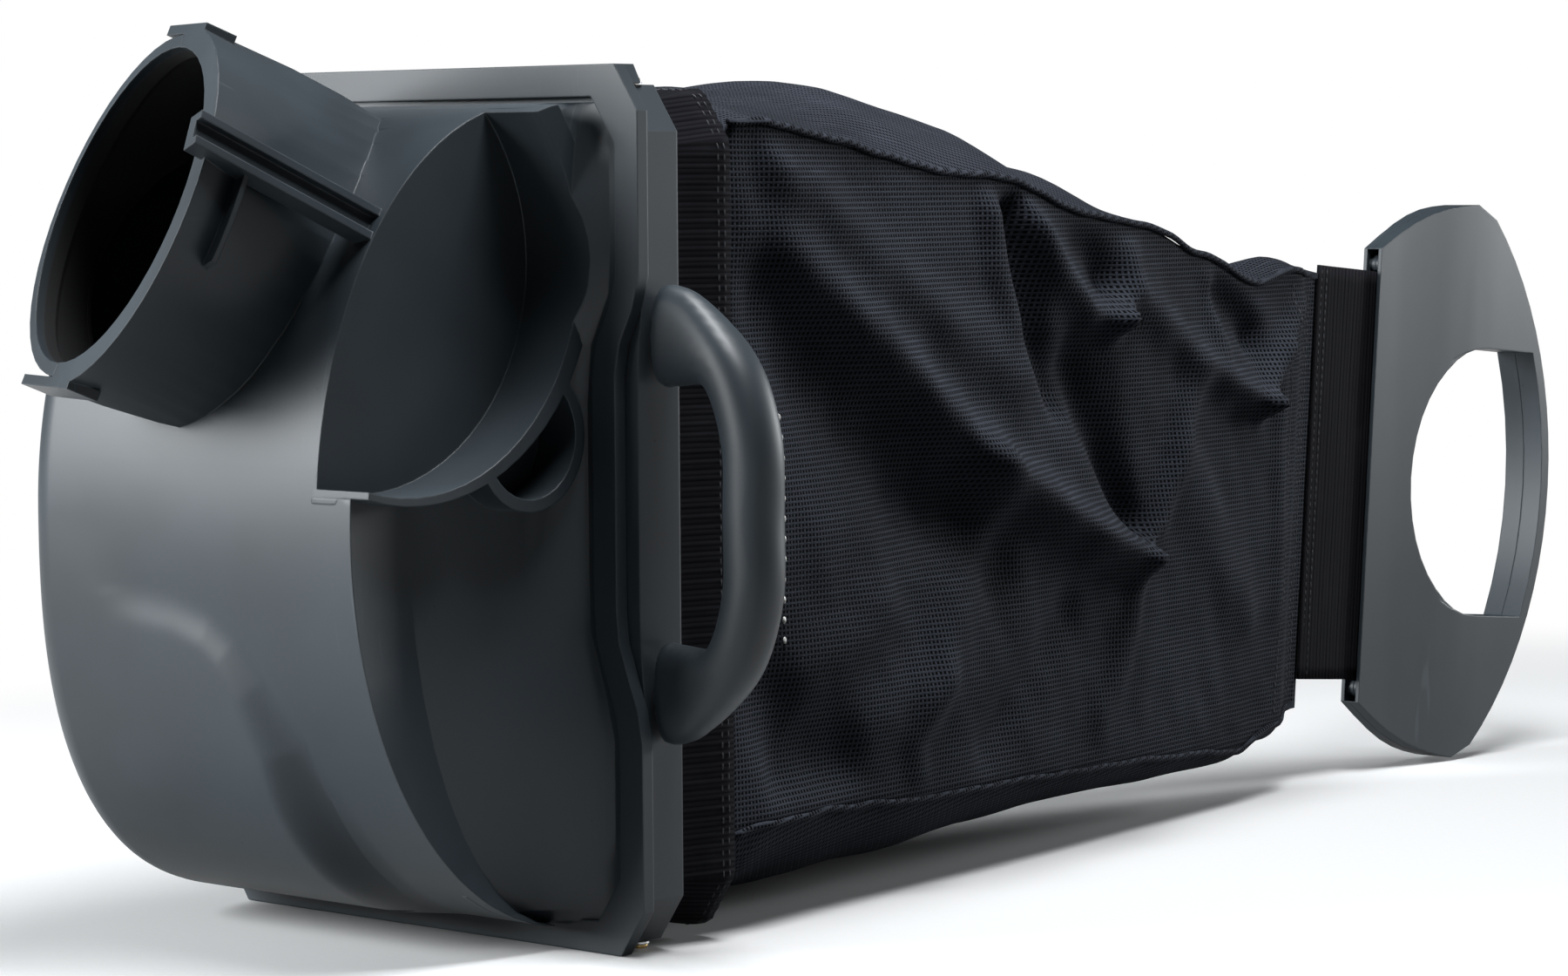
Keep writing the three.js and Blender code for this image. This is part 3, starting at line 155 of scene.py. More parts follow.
class Graph:
    """Node tree of one material."""

    def __init__(self, name: str) -> None:
        """Starts a material with a Principled shader."""
        self.material = bpy.data.materials.new(name)
        self.material.use_nodes = True
        self.tree = self.material.node_tree
        self.shader = next(n for n in self.tree.nodes if n.type == "BSDF_PRINCIPLED")

    def node(self, kind: str, settings: dict | None = None, sockets: dict | None = None,
             out: int | str = 0) -> Signal:
        """Adds a node.

        Args:
            kind: The node's type.
            settings: Properties that are set first, "stops" for a ramp's colours.
            sockets: Values or signals of its inputs, by name or number.
            out: The output to use.

        Returns:
            The output as a signal.
        """
        made = self.tree.nodes.new(kind)
        for key, value in (settings or {}).items():
            if key == "stops":
                self._set_stops(made.color_ramp, value)
            else:
                setattr(made, key, value)
        for key, value in (sockets or {}).items():
            self._feed(made.inputs[key], value)
        return Signal(self, made.outputs[out])

    def _set_stops(self, ramp: bpy.types.ColorRamp, stops: Sequence[Stop]) -> None:
        """Gives a ramp its colours."""
        while len(ramp.elements) < len(stops):
            ramp.elements.new(1.0)
        for element, (place, colour) in zip(ramp.elements, stops):
            element.position = place
            element.color = (*colour, 1.0)

    def _feed(self, socket: bpy.types.NodeSocket, value: "Signal | float | Sequence[float]") -> None:
        """Links a signal to an input, or writes a plain value on it."""
        if isinstance(value, Signal):
            self.tree.links.new(value.socket, socket)
        elif socket.type == "RGBA" and len(value) == 3:
            socket.default_value = (*value, 1.0)
        else:
            socket.default_value = value

    def maths(self, operation: str, first: Signal | float, second: Signal | float) -> Signal:
        """Adds a Math node."""
        return self.node("ShaderNodeMath", {"operation": operation}, {0: first, 1: second})

    def blend(self, share: Signal, first: Signal | Colour, second: Signal | Colour) -> Signal:
        """Mixes two colours."""
        return self.node("ShaderNodeMix", {"data_type": "RGBA"}, {0: share, 6: first, 7: second}, out=2)

    def coordinates(self, uv: bool = False) -> Signal:
        """Object coordinates in metres, or the piece's own map."""
        return self.node("ShaderNodeTexCoord", out="UV" if uv else "Object")

    def mapped(self, vector: Signal, scale: Sequence[float], turn: Sequence[float] = (0, 0, 0)) -> Signal:
        """Scales and turns coordinates."""
        return self.node("ShaderNodeMapping", {}, {"Vector": vector, "Rotation": turn, "Scale": scale})

    def noise(self, vector: Signal, scale: float, detail: float = 2.0, rough: float = 0.5) -> Signal:
        """Noise value over coordinates."""
        return self.node("ShaderNodeTexNoise", {}, {
            "Vector": vector, "Scale": scale, "Detail": detail, "Roughness": rough})

    def split(self, vector: Signal) -> tuple[Signal, Signal, Signal]:
        """The three parts of a vector."""
        parts = self.node("ShaderNodeSeparateXYZ", {}, {0: vector})
        sockets = parts.socket.node.outputs
        return Signal(self, sockets[0]), Signal(self, sockets[1]), Signal(self, sockets[2])

    def bump(self, height: Signal, distance: float, strength: float = 1.0,
             normal: Signal | None = None) -> Signal:
        """Turns heights in shares of `distance` into a normal."""
        sockets = {"Height": height, "Distance": distance, "Strength": strength}
        if normal is not None:
            sockets["Normal"] = normal
        return self.node("ShaderNodeBump", {}, sockets)

    def rounded(self, radius: float) -> Signal:
        """Normal of the surface with its edges rounded."""
        return self.node("ShaderNodeBevel", {"samples": 4}, {"Radius": radius})

    def edge_wear(self, rounded: Signal) -> Signal:
        """Share of wear: 0 on open faces and up to 1 on edges."""
        normal = self.node("ShaderNodeNewGeometry", out="Normal")
        along = self.node("ShaderNodeVectorMath", {"operation": "DOT_PRODUCT"},
                          {0: normal, 1: rounded}, out="Value")
        return (1.0 - along).step(0.01, 0.22)

    def finish(self, base: Signal, roughness: Signal, normal: Signal, metallic: float = 0.0,
               **constants: float) -> bpy.types.Material:
        """Feeds the shader.

        Args:
            base: Base colour.
            roughness: Roughness.
            normal: Normal.
            metallic: Metallic, the same all over.
            **constants: Further sockets, with underscores for the spaces in their names.

        Returns:
            The finished material.
        """
        self._feed(self.shader.inputs["Base Color"], base)
        self._feed(self.shader.inputs["Roughness"], roughness)
        self._feed(self.shader.inputs["Normal"], normal)
        self.shader.inputs["Metallic"].default_value = metallic
        for key, value in constants.items():
            self._feed(self.shader.inputs[key.replace("_", " ")], value)
        return self.material


# Finishes


@dataclass(frozen=True)
class PaintedShadeBore:
    """Painted shade inside the spout, as a slanted cone behind its mouth, in metres."""

    mouth: tuple[float, float, float]
    axis: tuple[float, float, float]
    drift: tuple[float, float, float]
    radius: float
    growth: float
    wall: float = 0.001
    deep_end: tuple[float, float] = (-0.115, -0.105)
    lip_end: tuple[float, float] = (-0.006, -0.003)

    def inside(self, g: Graph, place: Signal) -> Signal:
        """Share that is 1 on the bore's wall and 0 outside it."""
        away = g.node("ShaderNodeVectorMath", {"operation": "SUBTRACT"}, {0: place, 1: self.mouth})
        ahead = g.node("ShaderNodeVectorMath", {"operation": "DOT_PRODUCT"}, {0: away, 1: self.axis},
                       out="Value")
        slant = tuple(a - d for a, d in zip(self.axis, self.drift))
        along = g.node("ShaderNodeVectorMath", {"operation": "SCALE"}, {0: slant, "Scale": ahead})
        across = g.node("ShaderNodeVectorMath", {"operation": "SUBTRACT"}, {0: away, 1: along})
        reach = g.node("ShaderNodeVectorMath", {"operation": "LENGTH"}, {0: across}, out="Value")
        outside = (reach + ahead * self.growth).step(self.radius, self.radius + self.wall)
        behind = ahead.step(*self.deep_end) * (1.0 - ahead.step(*self.lip_end))
        return (1.0 - outside) * behind


@dataclass(frozen=True)
class MouldedPlastic:
    """Satin moulded plastic with fine grain, dark specks, light scratches and worn edges, and painted shade
    inside the spout where a bore is given.
    """

    name: str = "charcoal_plastic"
    tint: Colour = (0.0185, 0.0245, 0.0295)
    worn: Colour = (0.070, 0.085, 0.096)
    gloss: float = 0.37
    grain: float = 0.00003
    edge: float = 0.0011
    bore: PaintedShadeBore | None = None

    def build(self) -> bpy.types.Material:
        """Makes the material."""
        g = Graph(self.name)
        place = g.coordinates()
        broad = g.noise(place, 7.0, 3.0, 0.55)
        fine = g.noise(place, 1400.0, 2.0, 0.6)
        cells = g.node("ShaderNodeTexVoronoi", {}, {"Vector": place, "Scale": 42.0, "Randomness": 1.0})
        pick = g.node("ShaderNodeTexWhiteNoise", {"noise_dimensions": "3D"}, {
            "Vector": Signal(g, cells.socket.node.outputs["Position"])})
        specks = (1.0 - cells.step(0.016, 0.034)) * pick.step(0.52, 0.56)
        streaks = g.noise(g.mapped(place, (900.0, 22.0, 16.0), (0.0, 0.35, 0.9)), 1.0, 1.0)
        patches = g.noise(place, 11.0, 1.0)
        scratches = streaks.step(0.70, 0.74) * patches.step(0.55, 0.66)
        rounded = g.rounded(self.edge)
        wear = g.edge_wear(rounded) * (0.35 + g.noise(place, 60.0, 3.0).step(0.35, 0.75))
        dark = tuple(0.80 * c for c in self.tint)
        light = tuple(1.22 * c for c in self.tint)
        base = g.blend(broad.step(0.3, 0.7), dark, light)
        base = g.blend(scratches * 0.30, base, self.worn)
        base = g.blend(wear * 0.55, base, self.worn)
        base = g.blend(specks * 0.85, base, (0.006, 0.006, 0.007))
        roughness = self.gloss + broad * 0.10 + scratches * 0.12 + fine * 0.05
        normal = g.bump(fine - specks * 2.0, self.grain, 0.35, rounded)
        if self.bore is not None:
            # Painted shade: the bore's wall inside the spout is coloured near black.
            inside = self.bore.inside(g, place)
            base = g.blend(inside, base, (0.0012, 0.0013, 0.0015))
            roughness = roughness + inside * 0.35
        return g.finish(base, roughness, normal, Specular_IOR_Level=0.30)


@dataclass(frozen=True)
class OpenWeave:
    """Black net cloth of square open weave, with uneven threads, a little dust and painted shade in its
    holes.
    """

    name: str = "black_net_cloth"
    pitch: float = 0.0026
    thread: Colour = (0.021, 0.0235, 0.030)
    hole_shade: Colour = (0.0012, 0.0013, 0.0016)

    def build(self) -> bpy.types.Material:
        """Makes the material."""
        g = Graph(self.name)
        cut = g.coordinates(uv=True)
        u, v, _ = g.split(cut)
        turn = math.pi / self.pitch
        across, along = (u * turn).sine(), (v * turn).sine()
        warp = 1.0 - abs(across).step(0.42, 0.86)
        weft = 1.0 - abs(along).step(0.42, 0.86)
        cross = (u * turn + 0.5 * math.pi).sine() * (v * turn + 0.5 * math.pi).sine()
        height = (warp * (0.72 + 0.28 * cross)).greatest(weft * (0.72 - 0.28 * cross))
        cover = warp.greatest(weft)
        place = g.coordinates()
        broad = g.noise(place, 9.0, 3.0)
        uneven = g.noise(g.mapped(cut, (500.0, 26.0, 1.0)), 1.0, 2.0)
        dust = g.noise(place, 420.0, 2.0, 0.7).step(0.66, 0.78)
        tint = g.blend(broad.step(0.3, 0.7), tuple(0.8 * c for c in self.thread),
                       tuple(1.3 * c for c in self.thread))
        tint = g.blend(uneven.step(0.45, 0.75) * 0.5, tint, tuple(1.9 * c for c in self.thread))
        # Painted shade: the holes between the threads are coloured near black.
        base = g.blend(cover, self.hole_shade, tint)
        base = g.blend(dust * 0.06, base, (0.10, 0.10, 0.11))
        roughness = 0.90 - cover * 0.15 + (uneven - 0.5) * 0.10
        normal = g.bump(height, 0.00055, 0.75)
        return g.finish(base, roughness, normal, Specular_IOR_Level=MATT_SPECULAR)


@dataclass(frozen=True)
class RibbedWebbing:
    """Black webbing with ribs along it and a twill of threads across them."""

    name: str = "black_webbing"
    rib: float = 0.0034
    tint: Colour = (0.0055, 0.0055, 0.0065)

    def build(self) -> bpy.types.Material:
        """Makes the material."""
        g = Graph(self.name)
        cut = g.coordinates(uv=True)
        u, v, _ = g.split(cut)
        ribs = abs((u * (math.pi / self.rib)).sine())
        twill = abs(((u + v * 0.8) * (math.pi / 0.0011)).sine())
        height = ribs * 0.7 + twill * 0.3
        patches = g.noise(g.coordinates(), 30.0, 3.0)
        # Colour follows the ribs' height: painted shade in the grooves and lighter crowns.
        base = g.blend(height, (0.003, 0.003, 0.004), tuple(1.9 * c for c in self.tint))
        base = g.blend(patches.step(0.55, 0.8) * 0.12, base, (0.04, 0.04, 0.045))
        roughness = 0.92 - height * 0.25
        return g.finish(base, roughness, g.bump(height, 0.0006, 0.8), Specular_IOR_Level=MATT_SPECULAR)


@dataclass(frozen=True)
class Thread:
    """Sewing thread with a fine twist."""

    name: str
    tint: Colour

    def build(self) -> bpy.types.Material:
        """Makes the material."""
        g = Graph(self.name)
        place = g.coordinates()
        twist = abs(g.split(g.mapped(place, (2600.0, 2600.0, 2600.0), (0.5, 0.4, 0.3)))[0].sine())
        # Colour follows the twist: painted shade in its grooves.
        base = g.blend(twist, tuple(0.6 * c for c in self.tint), self.tint)
        return g.finish(base, 0.75 - twist * 0.15, g.bump(twist, 0.0001, 0.6), Specular_IOR_Level=0.3)


@dataclass(frozen=True)
class BareMetal:
    """Turned metal with fine rings of tooling, small stains and worn edges."""

    name: str
    tint: Colour
    dull: Colour
    gloss: float

    def build(self) -> bpy.types.Material:
        """Makes the material."""
        g = Graph(self.name)
        place = g.coordinates()
        stains = g.noise(place, 260.0, 3.0, 0.6).step(0.5, 0.72)
        lines = g.noise(g.mapped(place, (300.0, 300.0, 9000.0)), 1.0, 2.0)
        rounded = g.rounded(0.0004)
        base = g.blend(stains * 0.6, self.tint, self.dull)
        roughness = self.gloss + stains * 0.25 + lines * 0.08
        return g.finish(base, roughness, g.bump(lines, 0.00004, 0.3, rounded), metallic=1.0)


@dataclass(frozen=True)
class StudioPaper:
    """Seamless pale paper, white where the camera or a reflection meets it."""

    name: str = "studio_paper"
    bounce: Colour = (0.08, 0.08, 0.08)
    reach: tuple[float, float] = (1.1, 1.4)

    def build(self) -> bpy.types.Material:
        """Makes the material."""
        g = Graph(self.name)
        place = g.coordinates()
        rays = g.node("ShaderNodeLightPath")
        sockets = rays.socket.node.outputs
        seen = rays.greatest(Signal(g, sockets["Is Glossy Ray"])).greatest(
            Signal(g, sockets["Is Transmission Ray"]))
        fibre = g.noise(place, 300.0, 2.0)
        base = g.blend(seen, self.bounce, g.blend(fibre, (0.46, 0.46, 0.46), (0.49, 0.49, 0.49)))
        x, y, _ = g.split(place)
        away = (x * x * (1.0 / self.reach[0] ** 2) + y * y * (1.0 / self.reach[1] ** 2)).step(0.35, 1.0)
        g.finish(base, 0.9 + fibre * 0.05, g.bump(fibre, 0.00005, 0.2), Specular_IOR_Level=0.1)
        glow = g.node("ShaderNodeEmission", {}, {"Color": (1.0, 1.0, 1.0), "Strength": 1.0})
        paper = Signal(g, g.shader.outputs[0])
        mixed = g.node("ShaderNodeMixShader", {}, {0: seen * away, 1: paper, 2: glow})
        output = next(n for n in g.tree.nodes if n.type == "OUTPUT_MATERIAL")
        g.tree.links.new(mixed.socket, output.inputs["Surface"])
        return g.material


PLASTIC = MouldedPlastic()
CLOTH = OpenWeave()
WEBBING = RibbedWebbing()
# Darker copy of the webbing: painted shade of the carry handle's shadow on the collar.
SHADED_COLLAR_WEB = RibbedWebbing(name="shaded_collar_web", rib=0.0026, tint=(0.0035, 0.0035, 0.0045))
BLACK_THREAD = Thread("black_thread", (0.030, 0.031, 0.036))
PALE_THREAD = Thread("pale_thread", (0.62, 0.62, 0.60))
BRASS = BareMetal("turned_brass", (0.72, 0.50, 0.20), (0.30, 0.19, 0.08), 0.22)
STEEL = BareMetal("plated_steel", (0.62, 0.63, 0.64), (0.34, 0.33, 0.31), 0.26)

Finish = MouldedPlastic | OpenWeave | RibbedWebbing | Thread | BareMetal | StudioPaper


class Wardrobe:
    """Materials that are already made, one for each finish."""

    def __init__(self) -> None:
        """Starts empty."""
        self._made: dict[str, bpy.types.Material] = {}

    def get(self, finish: Finish) -> bpy.types.Material:
        """The finish's material, made at its first use."""
        if finish.name not in self._made:
            self._made[finish.name] = finish.build()
        return self._made[finish.name]


# Layout and mesh helpers


@dataclass(frozen=True)
class Layout:
    """Turns the design's own millimetres into the frame's metres."""

    shift: Vector

    @classmethod
    def from_frame(cls) -> "Layout":
        """Finds the shift from the bag frame's low corner."""
        low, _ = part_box("bag_frame")
        return cls(low - Vector((-151.0, 0.3, 4.5)) * MM)

    def point(self, x: float, y: float, z: float) -> Vector:
        """A point of the design, in metres in the frame."""
        return Vector((x, y, z)) * MM + self.shift

    def design(self, point: Vector) -> Vector:
        """The design's millimetres of a point in the frame."""
        return (point - self.shift) / MM


@dataclass
class Workshop:
    """What every sub-assembly is built with."""

    frame: dict
    layout: Layout
    wardrobe: Wardrobe = field(default_factory=Wardrobe)

    def piece(self, name: str, mesh: bmesh.types.BMesh, finish: Finish, slot: Slot,
              nodes: Sequence[str] = (), smooth: bool = True) -> bpy.types.Object:
        """Turns a bmesh into a dressed piece of the object.

        Args:
            name: The piece's name.
            mesh: Its mesh, which is freed.
            finish: Its finish.
            slot: The record's slot; not used.
            nodes: CAD nodes that it stands for.
            smooth: Whether its faces are shaded smooth.

        Returns:
            The new object.
        """
        for face in mesh.faces:
            face.smooth = smooth
        data = bpy.data.meshes.new(name)
        mesh.to_mesh(data)
        mesh.free()
        made = bpy.data.objects.new(name, data)
        bpy.context.scene.collection.objects.link(made)
        made.data.materials.append(self.wardrobe.get(finish))
        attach(made, ROOT)
        if nodes:
            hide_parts(*nodes)
        LOG.info("built %s: %d faces", name, len(data.polygons))
        return made

    def dress(self, node: str, finish: Finish) -> bpy.types.Object:
        """Gives a CAD node its finish."""
        piece = self.frame["nodes"][node]
        piece.data.materials.clear()
        piece.data.materials.append(self.wardrobe.get(finish))
        LOG.info("dressed %s", node)
        return piece

    def refined(self, node: str, name: str, finish: Finish, slot: Slot, crease: float = 32.0,
                change: Callable[[bmesh.types.BMesh], None] | None = None) -> bpy.types.Object:
        """Makes a merged copy of a CAD node with even shading.

        Args:
            node: The CAD node, which the copy stands for.
            name: The copy's name.
            finish: Its finish.
            slot: The record's slot.
            crease: Angle in degrees past which an edge stays crisp.
            change: Further work on the merged mesh.

        Returns:
            The new object.
        """
        mesh = bmesh.new()
        mesh.from_mesh(self.frame["nodes"][node].data)
        bmesh.ops.remove_doubles(mesh, verts=mesh.verts[:], dist=0.00002)
        bmesh.ops.dissolve_limit(mesh, angle_limit=math.radians(0.4), verts=mesh.verts[:],
                                 edges=mesh.edges[:], use_dissolve_boundaries=False)
        if change is not None:
            change(mesh)
        limit = math.radians(crease)
        for edge in mesh.edges:
            edge.smooth = len(edge.link_faces) == 2 and edge.calc_face_angle(0.0) < limit
        made = self.piece(name, mesh, finish, slot, (node,))
        weighted = made.modifiers.new("even_shading", "WEIGHTED_NORMAL")
        weighted.keep_sharp = True
        weighted.weight = 50
        return made


def turned(profile: Sequence[tuple[float, float]], steps: int) -> bmesh.types.BMesh:
    """Spins a profile round the Z axis.

    Args:
        profile: (radius, height) pairs in metres, from one end of the axis to the other.
        steps: Segments round the axis.

    Returns:
        The closed mesh.
    """
    mesh = bmesh.new()
    verts = [mesh.verts.new((radius, 0.0, height)) for radius, height in profile]
    edges = [mesh.edges.new(pair) for pair in zip(verts, verts[1:])]
    bmesh.ops.spin(mesh, geom=verts + edges, cent=(0, 0, 0), axis=(0, 0, 1),
                   angle=math.tau, steps=steps, use_merge=True)
    bmesh.ops.remove_doubles(mesh, verts=mesh.verts[:], dist=0.00001)
    bmesh.ops.recalc_face_normals(mesh, faces=mesh.faces[:])
    return mesh


def pose_along(point: Vector, forward: Vector, side: Vector) -> Matrix:
    """Placement with local X along `forward` and local Y near `side`."""
    x = forward.normalized()
    z = x.cross(side).normalized()
    y = z.cross(x)
    return Matrix.Translation(point) @ Matrix((x, y, z)).transposed().to_4x4()


def sweep(mesh: bmesh.types.BMesh, path: Sequence[Vector], wide: float, thick: float,
          side: Vector, segments: int = 8) -> None:
    """Sweeps an oval along a path and closes its ends.

    Args:
        mesh: The mesh that it is added to.
        path: Points in metres.
        wide: Half width across `side`, in metres.
        thick: Half width along `side`, in metres.
        side: Direction that the oval's short way follows.
        segments: Points of the oval.
    """
    places = []
    for i, point in enumerate(path):
        ahead = path[min(i + 1, len(path) - 1)] - path[max(i - 1, 0)]
        places.append(pose_along(point, ahead, side))
    oval = Matrix.Rotation(math.pi / 2, 4, "Y") @ Matrix.Diagonal((wide, thick, 1.0, 1.0))
    ring = bmesh.ops.create_circle(mesh, segments=segments, radius=1.0, cap_ends=False,
                                   matrix=places[0] @ oval)["verts"]
    first = {e for v in ring for e in v.link_edges}
    start, edges = list(first), list(first)
    for here, there in zip(places, places[1:]):
        moved = bmesh.ops.extrude_edge_only(mesh, edges=edges)["geom"]
        verts = [g for g in moved if isinstance(g, bmesh.types.BMVert)]
        edges = [g for g in moved if isinstance(g, bmesh.types.BMEdge)]
        bmesh.ops.transform(mesh, matrix=there @ here.inverted(), verts=verts)
    bmesh.ops.contextual_create(mesh, geom=start)
    bmesh.ops.contextual_create(mesh, geom=edges)


def stitches(points: Sequence[Vector], normals: Sequence[Vector], length: float,
             width: float) -> bmesh.types.BMesh:
    """Small thread stitches along a row of points.

    Args:
        points: Middle of each stitch, in metres.
        normals: Direction out of the cloth at each point.
        length: Length of a stitch.
        width: Width of the thread.

    Returns:
        The mesh of all stitches.
    """
    mesh = bmesh.new()
    for i, (point, normal) in enumerate(zip(points, normals)):
        ahead = points[min(i + 1, len(points) - 1)] - points[max(i - 1, 0)]
        place = pose_along(point, ahead, normal)
        size = Matrix.Diagonal((length / 2, width / 2, width / 2, 1.0))
        bmesh.ops.create_uvsphere(mesh, u_segments=6, v_segments=5, radius=1.0,
                                  matrix=place @ size @ Matrix.Rotation(math.pi / 2, 4, "Y"))
    return mesh


def take_in(mesh: bmesh.types.BMesh, part: bmesh.types.BMesh) -> None:
    """Adds a part to a mesh and frees the part."""
    data = bpy.data.meshes.new("part")
    part.to_mesh(data)
    part.free()
    mesh.from_mesh(data)
    bpy.data.meshes.remove(data)


def smooth_step(value: float, low: float, high: float) -> float:
    """Smooth rise from 0 at `low` to 1 at `high`."""
    t = min(1.0, max(0.0, (value - low) / (high - low)))
    return t * t * (3.0 - 2.0 * t)


def lerp(first: float, second: float, share: float) -> float:
    """Value at a share of the way from first to second."""
    return first + (second - first) * share


# Hood and frame


@dataclass
class Hood:
    """Moulded hood with its flange, spout, rail and pockets."""

    crease: float = 19.0
    back_y: float = -3.0
    depth: float = 141.0
    middle_z: float = 207.0
    half_height: float = 196.0
    far_x: float = -149.0
    round_far: float = 25.0
    edge_x: float = 91.0
    fullness: float = 2.6
    fold: tuple[tuple[float, float], ...] = (
        (-75.0, 172.0), (-35.0, 168.0), (-12.0, 161.0), (2.0, 150.0), (16.0, 132.0), (32.0, 102.0),
        (36.0, 71.0), (40.0, 46.0), (41.0, 10.0))
    cuts: int = 8
    mouth: tuple[float, float, float] = (-41.0, -166.0, 356.0)
    yaw: float = -19.6
    pitch: float = 23.0
    bore_radius: float = 83.0
    spout_length: float = 128.0
    spout_shift: tuple[float, float] = (-55.0, 6.0)
    spout_growth: float = 5.0
    crease_width: tuple[float, float] = (22.0, 36.0)
    crease_widens: tuple[float, float] = (150.0, 30.0)
    crease_past: float = 6.0
    crease_starts: tuple[float, float] = (-100.0, -55.0)
    corner_share: float = 0.9
    front_heights: tuple[float, float] = (12.0, 402.0)
    front_play: tuple[float, float] = (0.5, 0.2)
    front_stray: float = 26.0
    front_limit: float = -20.0
    front_facing: float = 0.15

    def build(self, shop: Workshop) -> list[bpy.types.Object]:
        """Builds the hood and the spout's far half."""
        finish = MouldedPlastic(name="charcoal_hood_plastic", bore=self._bore(shop))
        return [
            shop.refined("hood", "hood_moulding", finish, Slot.PLASTIC, self.crease,
                         lambda mesh: self._mould_front(shop, mesh)),
            shop.refined("spout_half_shell", "spout_far_half", finish, Slot.PLASTIC, 30.0),
        ]

    def _bore(self, shop: Workshop) -> PaintedShadeBore:
        """The painted shade inside the spout."""
        yaw, pitch = math.radians(self.yaw), math.radians(self.pitch)
        axis = Vector((math.sin(yaw) * math.cos(pitch), -math.cos(yaw) * math.cos(pitch), math.sin(pitch)))
        right = -axis.cross(Vector((0, 0, 1))).normalized()
        across, over = (shift / self.spout_length for shift in self.spout_shift)
        drift = right * across + axis.cross(right) * over
        mouth = shop.layout.point(*self.mouth)
        return PaintedShadeBore(tuple(mouth), tuple(axis), tuple(drift), self.bore_radius * MM,
                          self.spout_growth / self.spout_length)

    def _beside_fold(self, x: float, z: float) -> float:
        """Distance from the moulded crease, less than 0 on its full side."""
        best, signed = math.inf, 0.0
        for (ax, az), (bx, bz) in zip(self.fold, self.fold[1:]):
            dx, dz = bx - ax, bz - az
            t = min(1.0, max(0.0, ((x - ax) * dx + (z - az) * dz) / (dx * dx + dz * dz)))
            distance = math.hypot(x - ax - t * dx, z - az - t * dz)
            if distance < best:
                best = distance
                signed = math.copysign(distance, dx * (z - az) - dz * (x - ax))
        return signed

    def _front_depth(self, x: float, z: float) -> float:
        """Depth of the front in front of the flange, with the full side left of the crease."""
        height = min(1.0, max(-1.0, (z - self.middle_z) / self.half_height))
        plain = self.depth * math.sqrt(1.0 - height * height)
        if height > 0.0:
            return plain
        full = self.depth * (1.0 - abs(height) ** self.fullness) ** (1.0 / self.fullness)
        upper, lower = self.crease_widens
        width = lerp(*self.crease_width, smooth_step(-z, -upper, -lower))
        share = smooth_step(self._beside_fold(x, z), self.crease_past - width, self.crease_past)
        return lerp(full, plain, share * smooth_step(x, *self.crease_starts))

    def _front_y(self, x: float, z: float) -> float:
        """Where the moulded front lies, with its rounded far corner."""
        corner = self.far_x + self.round_far
        if x >= corner:
            return self.back_y - self._front_depth(x, z)
        depth = self._front_depth(self.far_x, z)
        turn = min(1.0, max(0.0, (corner - x) / self.round_far))
        radius = min(self.round_far, self.corner_share * depth)
        return self.back_y - depth + radius * (1.0 - math.sqrt(1.0 - turn * turn))

    def _mould_front(self, shop: Workshop, mesh: bmesh.types.BMesh) -> None:
        """Divides the front's faces and lays them on the true curve."""
        far_play, edge_play = self.front_play

        def on_front(vert: bmesh.types.BMVert) -> bool:
            x, y, z = shop.layout.design(vert.co)
            low, high = self.front_heights
            if not (self.far_x + far_play < x < self.edge_x + edge_play and low < z < high):
                return False
            return abs(y - self._front_y(x, z)) < self.front_stray and y < self.front_limit

        def front_faces() -> list[bmesh.types.BMFace]:
            facing = [f for f in mesh.faces if f.normal.y < self.front_facing]
            return [f for f in facing if all(on_front(v) for v in f.verts)]

        made = bmesh.ops.triangulate(mesh, faces=front_faces())["faces"]
        edges = list({e for f in made for e in f.edges})
        bmesh.ops.subdivide_edges(mesh, edges=edges, cuts=self.cuts, use_grid_fill=True)
        mesh.normal_update()
        front = {v for f in front_faces() for v in f.verts}
        rim = {v for v in front if any(w not in front for f in v.link_faces for w in f.verts)}
        for vert in front:
            x, _, z = shop.layout.design(vert.co)
            if vert not in rim or x > self.edge_x - edge_play:
                vert.co = shop.layout.point(x, self._front_y(x, z), z)


